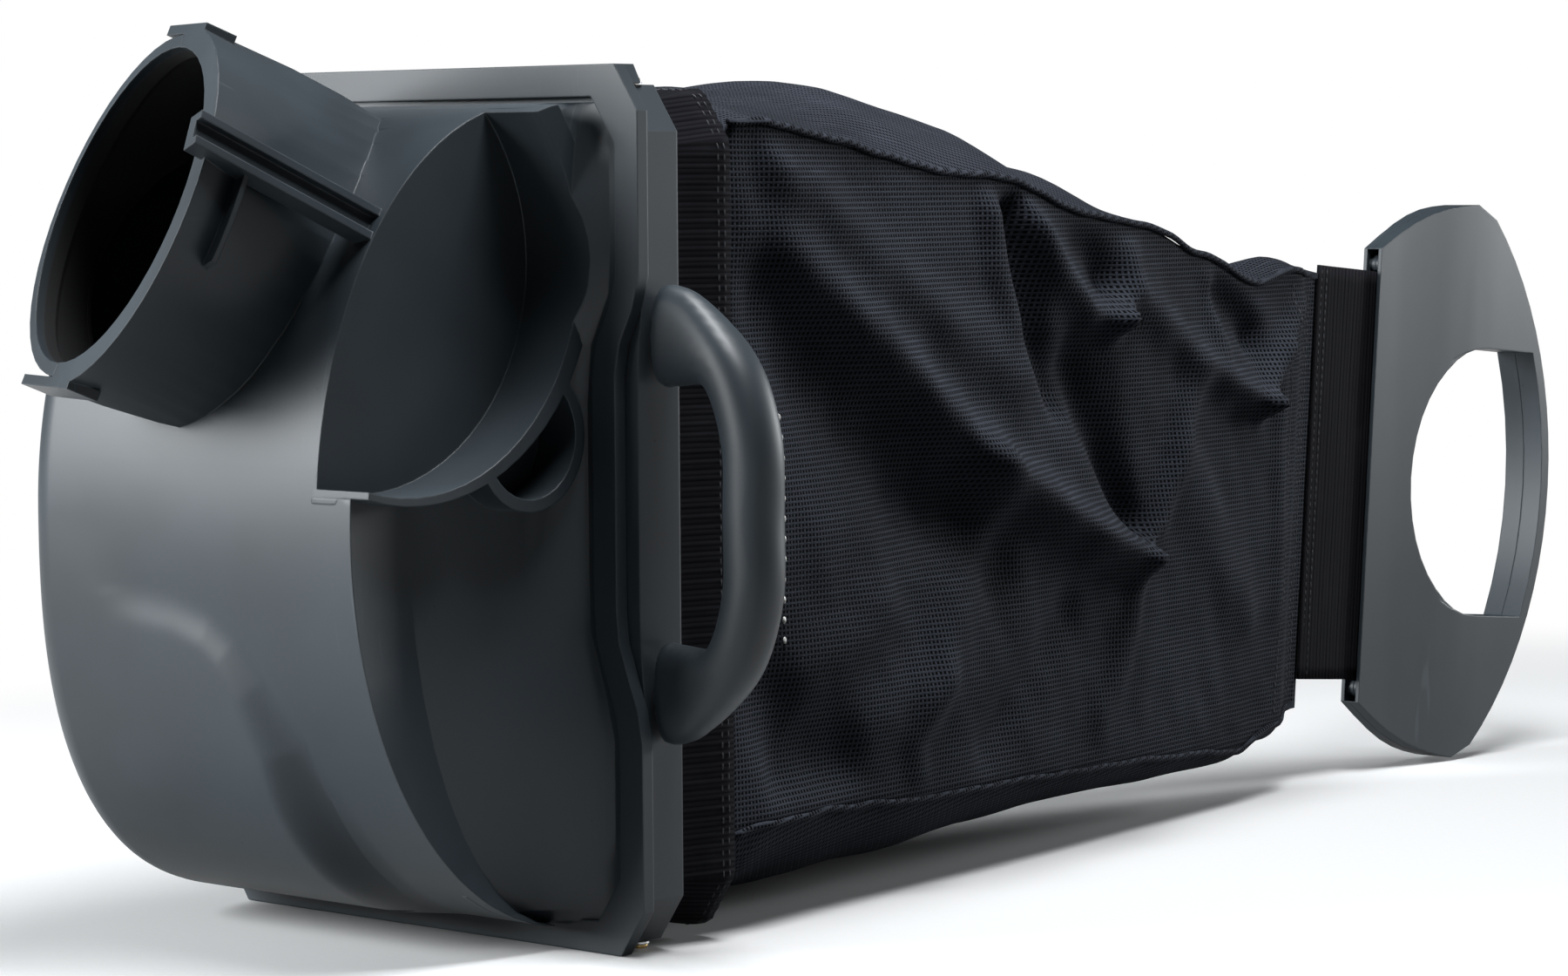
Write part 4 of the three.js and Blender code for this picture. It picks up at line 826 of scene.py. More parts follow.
@dataclass
class MouthFrame:
    """Band frame with its carry handle, screws, washers and clamp hoop."""

    head_radius: float = 4.2
    head_height: float = 2.4
    shank_radius: float = 2.0
    reach: float = 14.4
    under: float = 1.6
    recess_length: float = 4.6
    recess_width: float = 1.1
    recess_depth: float = 1.3
    recess_turn: float = 0.4
    tip_length: float = 1.5
    ridges: int = 9
    ridge_root: float = 0.82
    corners: tuple[str, ...] = ("near_top", "far_top", "near_bottom", "far_bottom")

    def build(self, shop: Workshop) -> list[bpy.types.Object]:
        """Builds the frame, the handle and the fasteners."""
        made = [
            shop.refined("bag_frame", "mouth_frame", PLASTIC, Slot.PLASTIC),
            self._handle(shop),
            shop.dress("clamp_hoop", STEEL),
        ]
        for corner in self.corners:
            made.append(shop.dress(f"frame_washer_{corner}", STEEL))
            made.append(self._screw(shop, corner))
        return made

    def _handle(self, shop: Workshop) -> bpy.types.Object:
        """Carry handle, smoothed from its CAD form."""
        made = shop.refined("carry_handle", "carry_grip", PLASTIC, Slot.PLASTIC, 60.0)
        finer = made.modifiers.new("finer", "SUBSURF")
        finer.levels = finer.render_levels = 1
        made.modifiers.move(1, 0)
        return made

    def _screw(self, shop: Workshop, corner: str) -> bpy.types.Object:
        """Pan-head screw with a cross recess."""
        node = f"frame_screw_{corner}"
        low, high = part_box(node)
        facing = 1.0 if corner.endswith("top") else -1.0
        seat = (high.z if facing > 0 else low.z) - facing * (self.under + self.head_height) * MM
        head, shank = self.head_radius * MM, self.shank_radius * MM
        top = (self.under + self.head_height) * MM
        profile = [(0.0, -self.reach * MM), (shank * 0.6, -self.reach * MM),
                   (shank, (self.tip_length - self.reach) * MM)]
        for i in range(self.ridges):
            z = lerp(self.tip_length - self.reach, self.under - 0.6, (i + 0.5) / self.ridges) * MM
            profile += [(shank, z), (shank * self.ridge_root, z + 0.4 * MM)]
        profile += [(shank, self.under * MM), (head * 0.96, self.under * MM),
                    (head, (self.under + 0.35) * MM),
                    (head * 0.95, top - 1.1 * MM), (head * 0.78, top - 0.45 * MM),
                    (head * 0.45, top - 0.1 * MM), (0.0, top)]
        mesh = turned(profile, 28)
        place = Matrix.Translation(((low.x + high.x) / 2, (low.y + high.y) / 2, seat))
        if facing < 0:
            place = place @ Matrix.Rotation(math.pi, 4, "X")
        bmesh.ops.transform(mesh, matrix=place, verts=mesh.verts[:])
        made = shop.piece(f"brass_screw_{corner}", mesh, BRASS, Slot.BRASS, (node,))
        self._carve_recess(made, place, top)
        return made

    def _carve_recess(self, screw: bpy.types.Object, place: Matrix, top: float) -> None:
        """Cuts the cross recess into a screw's head."""
        cutter = bmesh.new()
        for turn in (self.recess_turn, self.recess_turn + math.pi / 2):
            size = Matrix.Diagonal((self.recess_length * MM, self.recess_width * MM,
                                    2 * self.recess_depth * MM, 1.0))
            bmesh.ops.create_cube(cutter, size=1.0, matrix=(
                place @ Matrix.Translation((0, 0, top)) @ Matrix.Rotation(turn, 4, "Z") @ size))
        data = bpy.data.meshes.new("recess")
        cutter.to_mesh(data)
        cutter.free()
        tool = bpy.data.objects.new("recess", data)
        bpy.context.scene.collection.objects.link(tool)
        cut = screw.modifiers.new("recess", "BOOLEAN")
        cut.operation, cut.solver, cut.object, cut.use_self = "DIFFERENCE", "EXACT", tool, True
        bpy.context.view_layer.update()
        carved = bpy.data.meshes.new_from_object(
            screw.evaluated_get(bpy.context.evaluated_depsgraph_get()))
        screw.modifiers.clear()
        screw.data = carved
        bpy.data.objects.remove(tool)


# Cloth bag


@dataclass(frozen=True)
class Station:
    """Section of the bag at a share of its length, in millimetres off a straight taper."""

    at: float
    width: float
    crown: float
    seam: float
    lower: float
    belly: float


@dataclass(frozen=True)
class Fold:
    """Ridge or hollow of a side panel along (y, z) points, in millimetres."""

    path: tuple[tuple[float, float], ...]
    height: tuple[float, float]
    width: tuple[float, float]

    def push(self, y: float, z: float) -> float:
        """Outward push at a point of the panel."""
        best, share = math.inf, 0.0
        spans = len(self.path) - 1
        for i, ((ay, az), (by, bz)) in enumerate(zip(self.path, self.path[1:])):
            dy, dz = by - ay, bz - az
            t = min(1.0, max(0.0, ((y - ay) * dy + (z - az) * dz) / (dy * dy + dz * dz)))
            distance = math.hypot(y - ay - t * dy, z - az - t * dz)
            if distance < best:
                best, share = distance, (i + t) / spans
        width = lerp(self.width[0], self.width[1], share)
        return lerp(self.height[0], self.height[1], share) * math.exp(-((best / width) ** 2))


@dataclass
class MeshBag:
    """Tapering bag of net cloth with its seams, end band and stitches."""

    front_y: float = 48.3
    length: float = 661.0
    half_x: float = 135.0
    half_z: float = 194.0
    mid_z: float = 207.5
    mid_x: tuple[float, float] = (-7.0, 7.0)
    end_z: float = 176.0
    end_height: float = 262.0
    end_half: float = 8.5
    lean: float = math.radians(5.0)
    lean_z: float = 182.32
    corner_run: float = 15.0
    corner_rise: float = 22.0
    lap: float = 14.0
    columns: tuple[int, int, int] = (13, 66, 12)
    rows: int = 150
    cloth_thickness: float = 1.1
    relief: float = 1.5
    unevenness: tuple[float, float] = (2.2, 0.8)
    bulge: float = 5.0
    piping_run: tuple[float, float] = (0.03, 0.985)
    piping_steps: int = 110
    pale_at: float = 0.088
    pale_heights: tuple[float, float] = (250.0, 141.0)
    pale_count: int = 11
    stations: tuple[Station, ...] = (
        Station(0.0, 1.0, 0, 4, 30, 0),
        Station(0.024, 1.0, 0, 4, 36, 0),
        Station(0.07, 0.995, 12, 8, 44, -5),
        Station(0.16, 0.905, 26, 7, 44, -5),
        Station(0.3, 0.775, 43, 4, 36, -2),
        Station(0.42, 0.665, 36, 8, 28, 5),
        Station(0.53, 0.555, 21, -1, 22, 8),
        Station(0.64, 0.435, 7, 0, 20, 8),
        Station(0.74, 0.325, -7, -9, 16, 8),
        Station(0.84, 0.21, -16, -18, 10, 9),
        Station(0.92, 0.12, 3, -5, 12, 17),
        Station(1.0, 0.0, 0, -4, 4, 32),
    )
    folds: tuple[Fold, ...] = (
        Fold(((60, 352), (117, 326), (199, 276), (289, 218), (396, 174), (452, 156)), (7, 13), (20, 12)),
        Fold(((90, 300), (150, 250), (230, 200), (300, 170)), (-8, -9), (34, 26)),
        Fold(((289, 218), (300, 185), (266, 142), (240, 110), (181, 90)), (7, 4), (18, 24)),
        Fold(((452, 158), (479, 170), (500, 205), (520, 252)), (5, 6), (8, 14)),
        Fold(((392, 262), (425, 215), (458, 172)), (-10, -9), (20, 8)),
        Fold(((326, 356), (334, 318), (349, 280), (372, 248)), (-11, -8), (10, 12)),
        Fold(((300, 362), (306, 320), (318, 290)), (5, 3), (10, 12)),
        Fold(((340, 345), (370, 314), (401, 291), (427, 288)), (6, 8), (12, 9)),
        Fold(((427, 288), (446, 304), (450, 330)), (8, 3), (8, 12)),
        Fold(((400, 335), (425, 310)), (-5, -6), (14, 10)),
        Fold(((458, 298), (512, 269), (567, 247), (604, 234)), (5, 9), (14, 8)),
        Fold(((606, 234), (627, 255), (655, 280), (690, 300)), (8, 4), (8, 10)),
        Fold(((560, 300), (600, 272)), (-7, -8), (16, 12)),
        Fold(((640, 262), (640, 190), (648, 110)), (3, 2), (9, 10)),
        Fold(((100, 372), (170, 338), (250, 292), (320, 262)), (5, 4), (16, 18)),
        Fold(((74, 122), (110, 84), (158, 78)), (-9, -6), (24, 22)),
        Fold(((190, 150), (150, 130), (120, 128)), (5, 3), (20, 18)),
        Fold(((246, 106), (224, 80), (232, 58)), (5, 3), (14, 12)),
        Fold(((458, 138), (448, 98), (426, 74)), (4, 2), (12, 12)),
        Fold(((380, 130), (330, 90), (300, 70)), (-4, -3), (16, 14)),
        Fold(((64, 396), (68, 340), (66, 270), (70, 200)), (5, 3), (8, 9)),
        Fold(((86, 388), (92, 330), (84, 280)), (-4, -2), (10, 10)),
        Fold(((520, 200), (560, 150), (600, 110)), (3, 3), (18, 16)),
        Fold(((540, 330), (548, 296), (560, 268)), (4, 3), (9, 9)),
    )

    def station(self, share: float) -> Station:
        """Section between two stations at a share of the length."""
        last = len(self.stations) - 1
        following = next(i for i, s in enumerate(self.stations) if s.at >= share or i == last)
        b = self.stations[max(1, following)]
        a = self.stations[max(1, following) - 1]
        t = (share - a.at) / (b.at - a.at)
        ease = t * t * (3 - 2 * t)
        return Station(share, lerp(a.width, b.width, t), lerp(a.crown, b.crown, ease),
                       lerp(a.seam, b.seam, ease), lerp(a.lower, b.lower, ease),
                       lerp(a.belly, b.belly, ease))

    def fold_push(self, share: float, z: float, far: bool) -> float:
        """Outward push of all folds at a height of a side panel."""
        y = self.front_y + share * self.length
        total = sum(fold.push(y, z) for fold in self.folds)
        fine = noise.noise(Vector((y * 0.016, z * 0.011, 7.0 if far else 3.0)))
        finer = noise.noise(Vector((y * 0.05 + z * 0.02, z * 0.035, 11.0 if far else 5.0)))
        total = self.relief * (total + self.unevenness[0] * fine + self.unevenness[1] * finer)
        return total * smooth_step(share, self.lap / self.length, 0.1) * (1 - smooth_step(share, 0.9, 1.0))

    def section(self, share: float, panel: Panel, t: float) -> tuple[float, float]:
        """Point of a cross-section.

        Args:
            share: Share of the bag's length.
            panel: The panel that the point is on.
            t: Share of the way across the panel, in the direction round the bag.

        Returns:
            (x, z) in millimetres, off the section's middle.
        """
        s = self.station(share)
        half = lerp(self.end_half, self.half_x, s.width)
        end_top = self.end_z + self.end_height / 2
        crown = lerp(self.mid_z + self.half_z, end_top, share) + s.crown
        seam_top = lerp(self.mid_z + 0.94 * self.half_z, end_top, share) + s.seam
        belly = self.mid_z - self.half_z + s.belly
        seam_low = belly + s.lower
        far = panel in (Panel.BELLY_FAR, Panel.SIDE_FAR, Panel.TOP_FAR)
        if far:
            t = 1.0 - t
        if panel in (Panel.TOP_NEAR, Panel.TOP_FAR):
            steep = lerp(6.0, 2.2, smooth_step(share, 0.0, 0.12))
            x, z = half * t, lerp(crown, seam_top, t ** steep)
            ruck = noise.noise(Vector((x * 0.03, share * 14.0, 21.0 if far else 17.0)))
            z += 3.0 * ruck * math.sin(math.pi * t) * smooth_step(share, 0.02, 0.12)
        elif panel in (Panel.SIDE_NEAR, Panel.SIDE_FAR):
            z = lerp(seam_top, seam_low, t)
            bulge = self.bulge * math.sin(math.pi * t) * smooth_step(share, 0.021, 0.15)
            bulge *= 1 - smooth_step(share, 0.8, 1)
            edge = smooth_step(t, 0.0, 0.06) * (1 - smooth_step(t, 0.95, 1.0))
            x = max(3.0, half + bulge + self.fold_push(share, z, far) * edge)
        else:
            steep = lerp(6.0, 4.5, smooth_step(share, 0.0, 0.12))
            u = 1.0 - t
            x, z = half * u, lerp(belly, seam_low, u ** steep)
            z -= 2.0 * noise.noise(Vector((x * 0.03, share * 11.0, 31.0))) * math.sin(math.pi * u) * (
                smooth_step(share, 0.02, 0.12))
        if share < 0.028:
            x, z = self._held(x, z)
        closing = smooth_step(share, 0.93, 1.0)
        x *= 1.0 - closing
        return (-x if far else x), z

    def _held(self, x: float, z: float) -> tuple[float, float]:
        """Keeps a point of the lapped mouth inside the collar's cut corners."""
        side = 1.0 if z > self.mid_z else -1.0
        gap_x, gap_z = self.half_x - x, self.half_z - abs(z - self.mid_z)
        excess = max(0.0, (1 - gap_x / self.corner_run - gap_z / self.corner_rise) / 2)
        return x - excess * self.corner_run, z - side * excess * self.corner_rise

    def place(self, shop: Workshop, share: float, panel: Panel, t: float) -> Vector:
        """Point of the bag in the frame, in metres."""
        x, z = self.section(share, panel, t)
        shear = math.tan(self.lean) * smooth_step(share, 0.3, 1.0)
        y = self.front_y + share * self.length + (z - self.lean_z) * shear
        return shop.layout.point(lerp(self.mid_x[0], self.mid_x[1], share) + x, y, z)

    def column_place(self, column: int) -> tuple[Panel, float]:
        """Panel and share across it of a column of the cloth's grid."""
        top, side, low = self.columns
        spans = (top, side, low, low, side, top)
        start = 0
        for panel, span in zip(Panel, spans):
            if column <= start + span:
                return panel, (column - start) / span
            start += span
        return Panel.TOP_FAR, 1.0

    def build(self, shop: Workshop) -> list[bpy.types.Object]:
        """Builds the cloth, its piping and its stitches."""
        piping = self._piping(shop)
        band = self._band_stitches(shop)
        dots = self._pale_stitches(shop)
        cloth = self._cloth(shop)
        return [cloth, *piping, band, dots]

    def _cloth(self, shop: Workshop) -> bpy.types.Object:
        """Net cloth, as one grid that is wrapped round the bag."""
        mesh = bmesh.new()
        columns = 2 * sum(self.columns)
        bmesh.ops.create_grid(mesh, x_segments=columns, y_segments=self.rows, size=1.0)
        layer = mesh.loops.layers.uv.new("cut")
        spots = {}
        for vert in mesh.verts:
            column, share = round((vert.co.x + 1) / 2 * columns), (vert.co.y + 1) / 2
            vert.co = self.place(shop, share, *self.column_place(column))
            spots[vert] = (column, share * self.length * MM)
        for face in mesh.faces:
            middle = sum(spots[v][0] for v in face.verts) / 4
            panel, _ = self.column_place(math.ceil(middle))
            upright = panel in (Panel.SIDE_NEAR, Panel.SIDE_FAR)
            for loop in face.loops:
                across = loop.vert.co.z if upright else loop.vert.co.x
                loop[layer].uv = (across, spots[loop.vert][1])
        bmesh.ops.remove_doubles(mesh, verts=mesh.verts[:], dist=0.00003)
        bmesh.ops.recalc_face_normals(mesh, faces=mesh.faces[:])
        made = shop.piece("net_cloth", mesh, CLOTH, Slot.CLOTH, ("mesh_bag",))
        wall = made.modifiers.new("cloth", "SOLIDIFY")
        wall.thickness, wall.offset = self.cloth_thickness * MM, -1.0
        return made

    def _piping(self, shop: Workshop) -> list[bpy.types.Object]:
        """Sewn seams between the panels, as thin folded ridges."""
        made = []
        seams = (("near_top", Panel.SIDE_NEAR, 0.0, 1.0), ("near_low", Panel.SIDE_NEAR, 1.0, 1.0),
                 ("far_top", Panel.SIDE_FAR, 1.0, -1.0), ("far_low", Panel.SIDE_FAR, 0.0, -1.0))
        for name, panel, t, side in seams:
            path = []
            upper = "top" in name
            lift = 1.6 if upper else -0.6
            for i in range(self.piping_steps + 1):
                share = lerp(*self.piping_run, i / self.piping_steps)
                stray = 1.2 * noise.noise(Vector((share * 30.0, t * 5.0, side)))
                off = Vector((side * 0.6, 0.0, lift + stray)) * MM
                path.append(self.place(shop, share, panel, t) + off)
            mesh = bmesh.new()
            sweep(mesh, path, 2.1 * MM, 1.5 * MM, Vector((side, 0.0, 0.6 if upper else -0.4)))
            bmesh.ops.recalc_face_normals(mesh, faces=mesh.faces[:])
            self._unwrap_tube(mesh)
            made.append(shop.piece(f"seam_{name}", mesh, CLOTH, Slot.CLOTH))
        return made

    @staticmethod
    def _unwrap_tube(mesh: bmesh.types.BMesh) -> None:
        """Gives a seam a map in metres from its heights and its run."""
        layer = mesh.loops.layers.uv.new("cut")
        for face in mesh.faces:
            for loop in face.loops:
                loop[layer].uv = (loop.vert.co.z + loop.vert.co.x, loop.vert.co.y)

    def _row(self, shop: Workshop, share: float, panel: Panel, first: float, last: float,
             pitch: float) -> tuple[list[Vector], list[Vector]]:
        """Points and outward directions of a stitch row down a side panel."""
        side = Vector((1.0 if panel is Panel.SIDE_NEAR else -1.0, 0.0, 0.0))
        start = self.place(shop, share, panel, first)
        end = self.place(shop, share, panel, last)
        count = max(2, int((end - start).length / (pitch * MM)))
        points = []
        for i in range(count + 1):
            points.append(self.place(shop, share, panel, lerp(first, last, i / count)) + side * 0.2 * MM)
        return points, [side] * len(points)

    def _band_stitches(self, shop: Workshop) -> bpy.types.Object:
        """Three rows of black stitches down each side of the end band."""
        mesh = bmesh.new()
        for panel in (Panel.SIDE_NEAR, Panel.SIDE_FAR):
            for share in (0.918, 0.978, 0.986):
                points, normals = self._row(shop, share, panel, 0.03, 0.97, 5.0)
                take_in(mesh, stitches(points, normals, 3.4 * MM, THREAD_WIDTH * MM))
        return shop.piece("band_stitches", mesh, BLACK_THREAD, Slot.CLOTH)

    def _pale_stitches(self, shop: Workshop) -> bpy.types.Object:
        """Short row of pale stitches behind the carry handle."""
        share = self.pale_at
        s = self.station(share)
        top = lerp(self.mid_z + 0.94 * self.half_z, self.end_z + self.end_height / 2, share) + s.seam
        low = self.mid_z - self.half_z + s.belly + s.lower
        outward = Vector((1.0, 0.0, 0.0))
        points = []
        for i in range(self.pale_count + 1):
            z = lerp(*self.pale_heights, i / self.pale_count)
            t = (top - z) / (top - low)
            points.append(self.place(shop, share, Panel.SIDE_NEAR, t) + outward * 0.7 * MM)
        row = stitches(points, [outward] * len(points), 3.6 * MM, 1.9 * MM)
        return shop.piece("pale_stitches", row, PALE_THREAD, Slot.CLOTH)


# Collar and strap


@dataclass
class Collar:
    """Woven collar that joins the bag to its frame."""

    front_y: float = 4.3
    length: float = 58.0
    inset: float = 6.3
    thickness: float = 1.5
    pleat: float = 0.5
    pitch: float = 6.4
    flare: float = 5.0
    half_x: float = 144.0
    half_z: float = 203.0
    mid_x: float = -7.0
    mid_z: float = 207.5
    run: float = 15.0
    rise: float = 22.0

    def outline(self) -> list[tuple[float, float]]:
        """Corners of the collar's outside, as (x, z) in millimetres."""
        hx, hz = self.half_x - self.inset, self.half_z - self.inset
        near, far = self.mid_x + hx, self.mid_x - hx
        top, low = self.mid_z + hz, self.mid_z - hz
        return [(near, low + self.rise), (near, top - self.rise), (near - self.run, top),
                (far + self.run, top), (far, top - self.rise), (far, low + self.rise),
                (far + self.run, low), (near - self.run, low)]

    def build(self, shop: Workshop) -> list[bpy.types.Object]:
        """Builds the collar's band and its stitches."""
        corners = self.outline()
        spans = [math.dist(a, b) for a, b in zip(corners, corners[1:] + corners[:1])]
        girth = sum(spans)
        per_pleat = 4
        columns = per_pleat * round(girth / self.pitch)
        rows = 10
        mesh = bmesh.new()
        bmesh.ops.create_grid(mesh, x_segments=columns, y_segments=rows, size=1.0)
        layer = mesh.loops.layers.uv.new("cut")
        spots = {v: ((v.co.x + 1) / 2, (v.co.y + 1) / 2) for v in mesh.verts}
        for face in mesh.faces:
            for loop in face.loops:
                around, along = spots[loop.vert]
                loop[layer].uv = (around * girth * MM, along * self.length * MM)
        for vert in mesh.verts:
            around, along = spots[vert]
            vert.co = self._spot(shop, corners, spans, girth, around, along)
        bmesh.ops.remove_doubles(mesh, verts=mesh.verts[:], dist=0.00002)
        bmesh.ops.recalc_face_normals(mesh, faces=mesh.faces[:])
        band = shop.piece("collar_band", mesh, SHADED_COLLAR_WEB, Slot.WEBBING, ("bag_collar",))
        wall = band.modifiers.new("web", "SOLIDIFY")
        wall.thickness, wall.offset = self.thickness * MM, -1.0
        rows_made = self._stitches(shop, corners, spans, girth)
        return [band, rows_made]

    def _spot(self, shop: Workshop, corners: list[tuple[float, float]], spans: list[float], girth: float,
              around: float, along: float) -> Vector:
        """Point of the collar's outside at shares of its girth and its length."""
        run = (around % 1.0) * girth
        for (a, b), span in zip(zip(corners, corners[1:] + corners[:1]), spans):
            if run <= span:
                break
            run -= span
        t = run / span
        x, z = lerp(a[0], b[0], t), lerp(a[1], b[1], t)
        inward = Vector((-(b[1] - a[1]), 0.0, b[0] - a[0])).normalized()
        push = self.pleat * 0.5 * (1 - math.cos(math.tau * around * round(girth / self.pitch)))
        y = self.front_y + along * self.length
        push -= self.flare * smooth_step(along, 0.36, 0.95)
        return shop.layout.point(x, y, z) + inward * push * MM

    def _stitches(self, shop: Workshop, corners: list[tuple[float, float]], spans: list[float],
                  girth: float) -> bpy.types.Object:
        """Two rows of stitches that hold the bag in the collar."""
        mesh = bmesh.new()
        for along in (0.86, 0.93):
            count = int(girth / 5.2)
            points = [self._spot(shop, corners, spans, girth, i / count, along) for i in range(count)]
            middle = shop.layout.point(self.mid_x, self.front_y, self.mid_z)
            normals = []
            for i, point in enumerate(points):
                ahead = points[(i + 1) % count] - points[i - 1]
                out = ahead.cross(Vector((0, 1, 0))).normalized()
                normals.append(out if out.dot(point - middle) > 0 else -out)
            take_in(mesh, stitches(points, normals, STITCH * MM, THREAD_WIDTH * MM))
        return shop.piece("collar_stitches", mesh, BLACK_THREAD, Slot.WEBBING)


@dataclass
class RearGrip:
    """Two-shell rear handle on its webbing strap."""

    strap_height: float = 250.0
    strap_thickness: float = 3.0
    strap_shown: float = 57.0
    strap_tail: float = 16.7
    mouth: tuple[float, float, float] = (7.0, 766.6, 182.32)
    lean: float = math.radians(5.0)

    def placement(self, shop: Workshop) -> Matrix:
        """Turns the handle's upright frame, in metres, into its place."""
        return Matrix.Translation(shop.layout.point(*self.mouth)) @ Matrix.Rotation(-self.lean, 4, "X")

    def build(self, shop: Workshop) -> list[bpy.types.Object]:
        """Builds the strap, the shells and the screws."""
        made = [
            shop.refined("rear_handle_near_shell", "rear_grip_near", PLASTIC, Slot.PLASTIC, 30.0),
            shop.refined("rear_handle_far_shell", "rear_grip_far", PLASTIC, Slot.PLASTIC, 30.0),
            shop.dress("strap_rod", STEEL),
        ]
        for place in ("mouth_top", "mouth_bottom", "tip_top", "tip_bottom"):
            made.append(shop.refined(f"rear_screw_{place}", f"shell_screw_{place}", STEEL, Slot.STEEL, 40.0))
        made.extend(self._strap(shop))
        return made

    def _strap(self, shop: Workshop) -> list[bpy.types.Object]:
        """Wide webbing strap with ribs along its height and stitched edges."""
        mesh = bmesh.new()
        ribs = 36
        bmesh.ops.create_grid(mesh, x_segments=ribs * 2, y_segments=30, size=1.0)
        layer = mesh.loops.layers.uv.new("cut")
        run = self.strap_shown + self.strap_tail
        for face in mesh.faces:
            for loop in face.loops:
                co = loop.vert.co
                loop[layer].uv = ((co.x + 1) / 2 * run * MM, (co.y + 1) / 2 * self.strap_height * MM)
        place = self.placement(shop)
        for i, vert in enumerate(mesh.verts):
            column = round((vert.co.x + 1) * ribs)
            y = lerp(-self.strap_shown, self.strap_tail, column / (2 * ribs))
            z = vert.co.y * self.strap_height / 2
            ease = smooth_step(y, -2.0, -12.0) if y > -12 else 1.0
            wave = (0.5 if column % 2 else 0.0) + 0.7 * noise.noise(Vector((y * 0.05, z * 0.012, 2.0))) * ease
            vert.co = place @ (Vector((wave * (y < 0), y, z)) * MM)
        bmesh.ops.recalc_face_normals(mesh, faces=mesh.faces[:])
        strap = shop.piece("woven_strap", mesh, WEBBING, Slot.WEBBING, ("rear_strap",))
        wall = strap.modifiers.new("web", "SOLIDIFY")
        wall.thickness, wall.offset = (self.strap_thickness - 0.8) * MM, 0.0
        edge = self._edge_stitches(shop, place)
        return [strap, edge]

    def _edge_stitches(self, shop: Workshop, place: Matrix) -> bpy.types.Object:
        """Stitch rows across the strap where it is sewn to the bag."""
        mesh = bmesh.new()
        count = int(self.strap_height / 5.0)
        for y in (-self.strap_shown + 3.0, -self.strap_shown + 8.0):
            for side in (1.0, -1.0):
                points = []
                for i in range(count + 1):
                    z = lerp(-self.strap_height / 2 + 4, self.strap_height / 2 - 4, i / count)
                    points.append(place @ (Vector((side * (self.strap_thickness / 2 - 0.1), y, z)) * MM))
                normals = [Vector((side, 0, 0))] * len(points)
                take_in(mesh, stitches(points, normals, STITCH * MM, THREAD_WIDTH * MM))
        return shop.piece("strap_stitches", mesh, BLACK_THREAD, Slot.WEBBING)


# Studio


@dataclass(frozen=True)
class SoftLight:
    """Square lamp that looks at a point of the design."""

    name: str
    at: tuple[float, float, float]
    towards: tuple[float, float, float]
    size: tuple[float, float]
    power: float
    colour: Colour = (1.0, 1.0, 1.0)


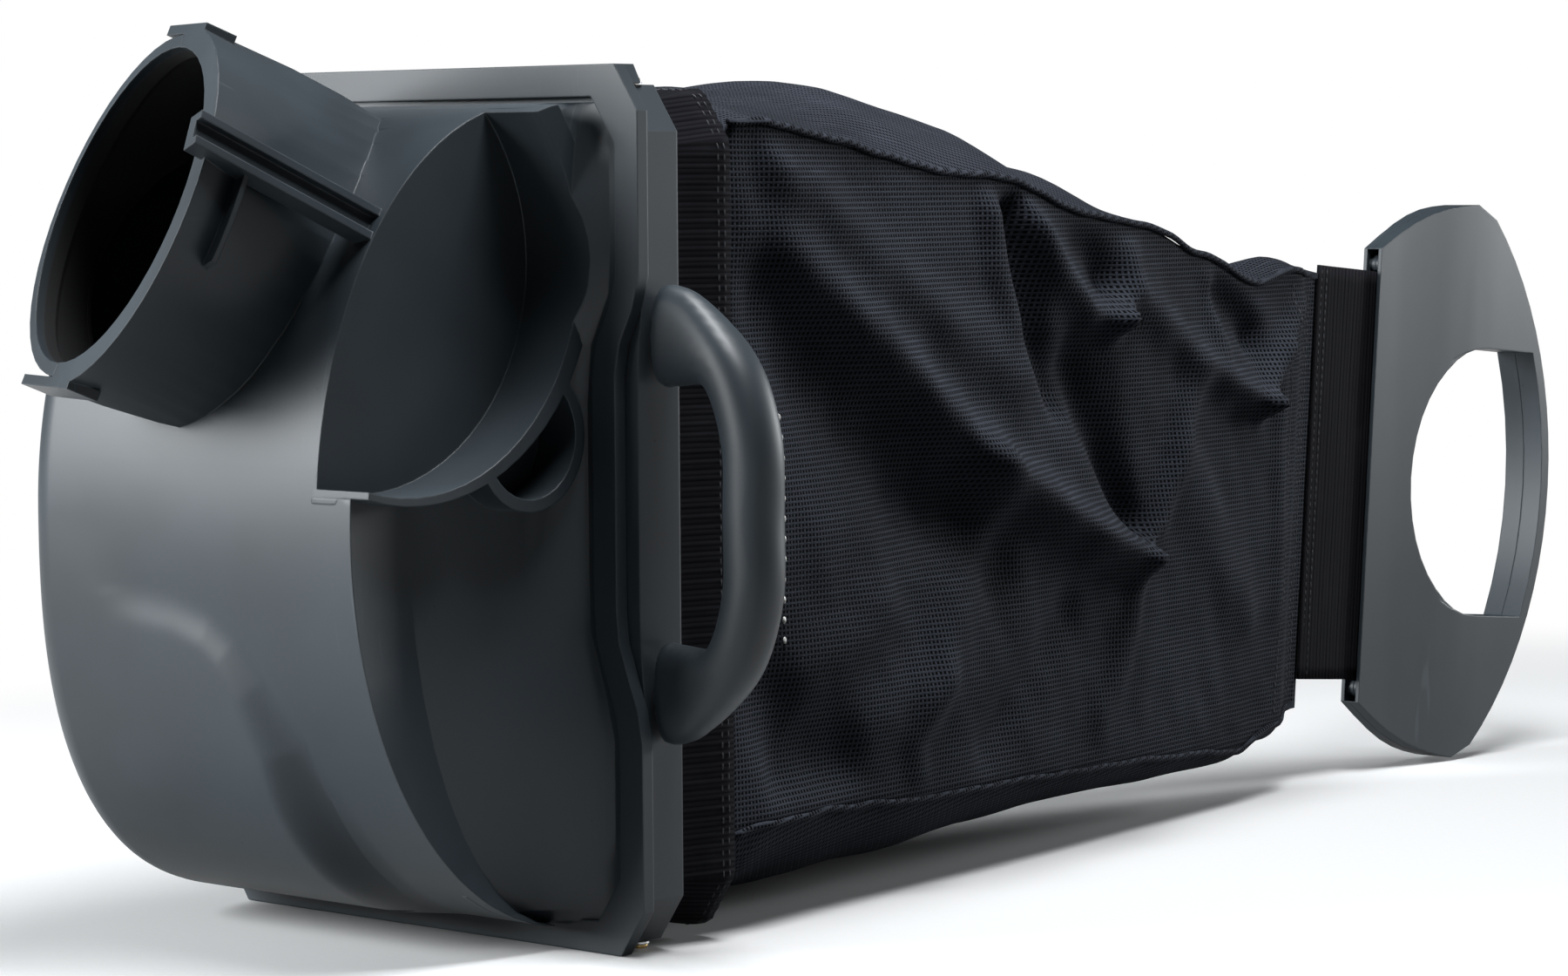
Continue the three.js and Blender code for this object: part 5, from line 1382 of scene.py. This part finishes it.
@dataclass
class Studio:
    """Pale floor, soft lamps, world and camera."""

    floor_size: float = 30.0
    eye: tuple[float, float, float] = (1621.96, -1538.44, 366.13)
    azimuth: float = 42.232
    elevation: float = 3.877
    roll: float = -0.391
    lens: float = 104.934
    world_level: float = 0.02
    lamps: tuple[SoftLight, ...] = (
        SoftLight("front_key", (-1050, -1480, 820), (-40, -60, 220), (1.0, 1.0), 104, (0.95, 0.98, 1.0)),
        SoftLight("top_soft", (400, 150, 1900), (0, 280, 200), (0.7, 1.0), 78, (0.96, 0.98, 1.0)),
        SoftLight("rear_side", (960, 2850, 760), (0, 860, 180), (0.9, 0.9), 50, (0.95, 0.98, 1.0)),
    )

    def build(self, shop: Workshop) -> None:
        """Builds the floor, the lamps, the world and the camera."""
        self._floor(shop)
        for lamp in self.lamps:
            self._lamp(shop, lamp)
        self._world()
        self._camera(shop)
        bpy.context.scene.view_settings.view_transform = "Standard"

    def _floor(self, shop: Workshop) -> None:
        """Pale floor under the object."""
        mesh = bmesh.new()
        bmesh.ops.create_grid(mesh, x_segments=1, y_segments=1, size=self.floor_size / 2)
        data = bpy.data.meshes.new("studio_floor")
        mesh.to_mesh(data)
        mesh.free()
        floor = bpy.data.objects.new("studio_floor", data)
        bpy.context.scene.collection.objects.link(floor)
        floor.location.z = -0.0004
        floor.data.materials.append(shop.wardrobe.get(StudioPaper()))

    def _lamp(self, shop: Workshop, lamp: SoftLight) -> None:
        """Adds a soft lamp."""
        data = bpy.data.lights.new(lamp.name, "AREA")
        data.shape, data.size, data.size_y = "RECTANGLE", lamp.size[0], lamp.size[1]
        data.energy, data.color = lamp.power, lamp.colour
        light = bpy.data.objects.new(lamp.name, data)
        light.location = shop.layout.point(*lamp.at)
        aim = shop.layout.point(*lamp.towards) - light.location
        light.rotation_euler = aim.to_track_quat("-Z", "Y").to_euler()
        bpy.context.scene.collection.objects.link(light)

    def _world(self) -> None:
        """White where the camera looks, and a plain level for everything else."""
        world = bpy.data.worlds.new("studio")
        world.use_nodes = True
        tree = world.node_tree
        shade = next(n for n in tree.nodes if n.type == "BACKGROUND")
        shade.inputs["Color"].default_value = (1.0, 1.0, 1.0, 1.0)
        rays = tree.nodes.new("ShaderNodeLightPath")
        level = tree.nodes.new("ShaderNodeMapRange")
        tree.links.new(rays.outputs["Is Camera Ray"], level.inputs["Value"])
        level.inputs["To Min"].default_value = self.world_level
        level.inputs["To Max"].default_value = 1.0
        tree.links.new(level.outputs[0], shade.inputs["Strength"])
        bpy.context.scene.world = world

    def _camera(self, shop: Workshop) -> None:
        """Camera at the photograph's place."""
        a, e, roll = (math.radians(v) for v in (self.azimuth, self.elevation, self.roll))
        back = Vector((math.sin(a) * math.cos(e), -math.cos(a) * math.cos(e), math.sin(e)))
        level = Vector((math.cos(a), math.sin(a), 0.0))
        over = back.cross(level)
        right = level * math.cos(roll) + over * math.sin(roll)
        up = over * math.cos(roll) - level * math.sin(roll)
        data = bpy.data.cameras.new("photo_camera")
        data.sensor_fit, data.sensor_width, data.lens = "HORIZONTAL", 36.0, self.lens
        data.clip_start, data.clip_end = 0.05, 60.0
        camera = bpy.data.objects.new("photo_camera", data)
        camera.matrix_world = Matrix.Translation(shop.layout.point(*self.eye)) @ Matrix(
            (right, up, back)).transposed().to_4x4()
        bpy.context.scene.collection.objects.link(camera)
        bpy.context.scene.camera = camera


def main() -> None:
    """Builds every sub-assembly in order."""
    logging.basicConfig(level=logging.INFO, format="%(message)s")
    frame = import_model()
    shop = Workshop(frame, Layout.from_frame())
    Studio().build(shop)
    for assembly in (Hood(), MouthFrame(), RearGrip(), MeshBag(), Collar()):
        made = assembly.build(shop)
        LOG.info("%s: %d pieces", type(assembly).__name__, len(made))


if __name__ == "__main__":
    main()
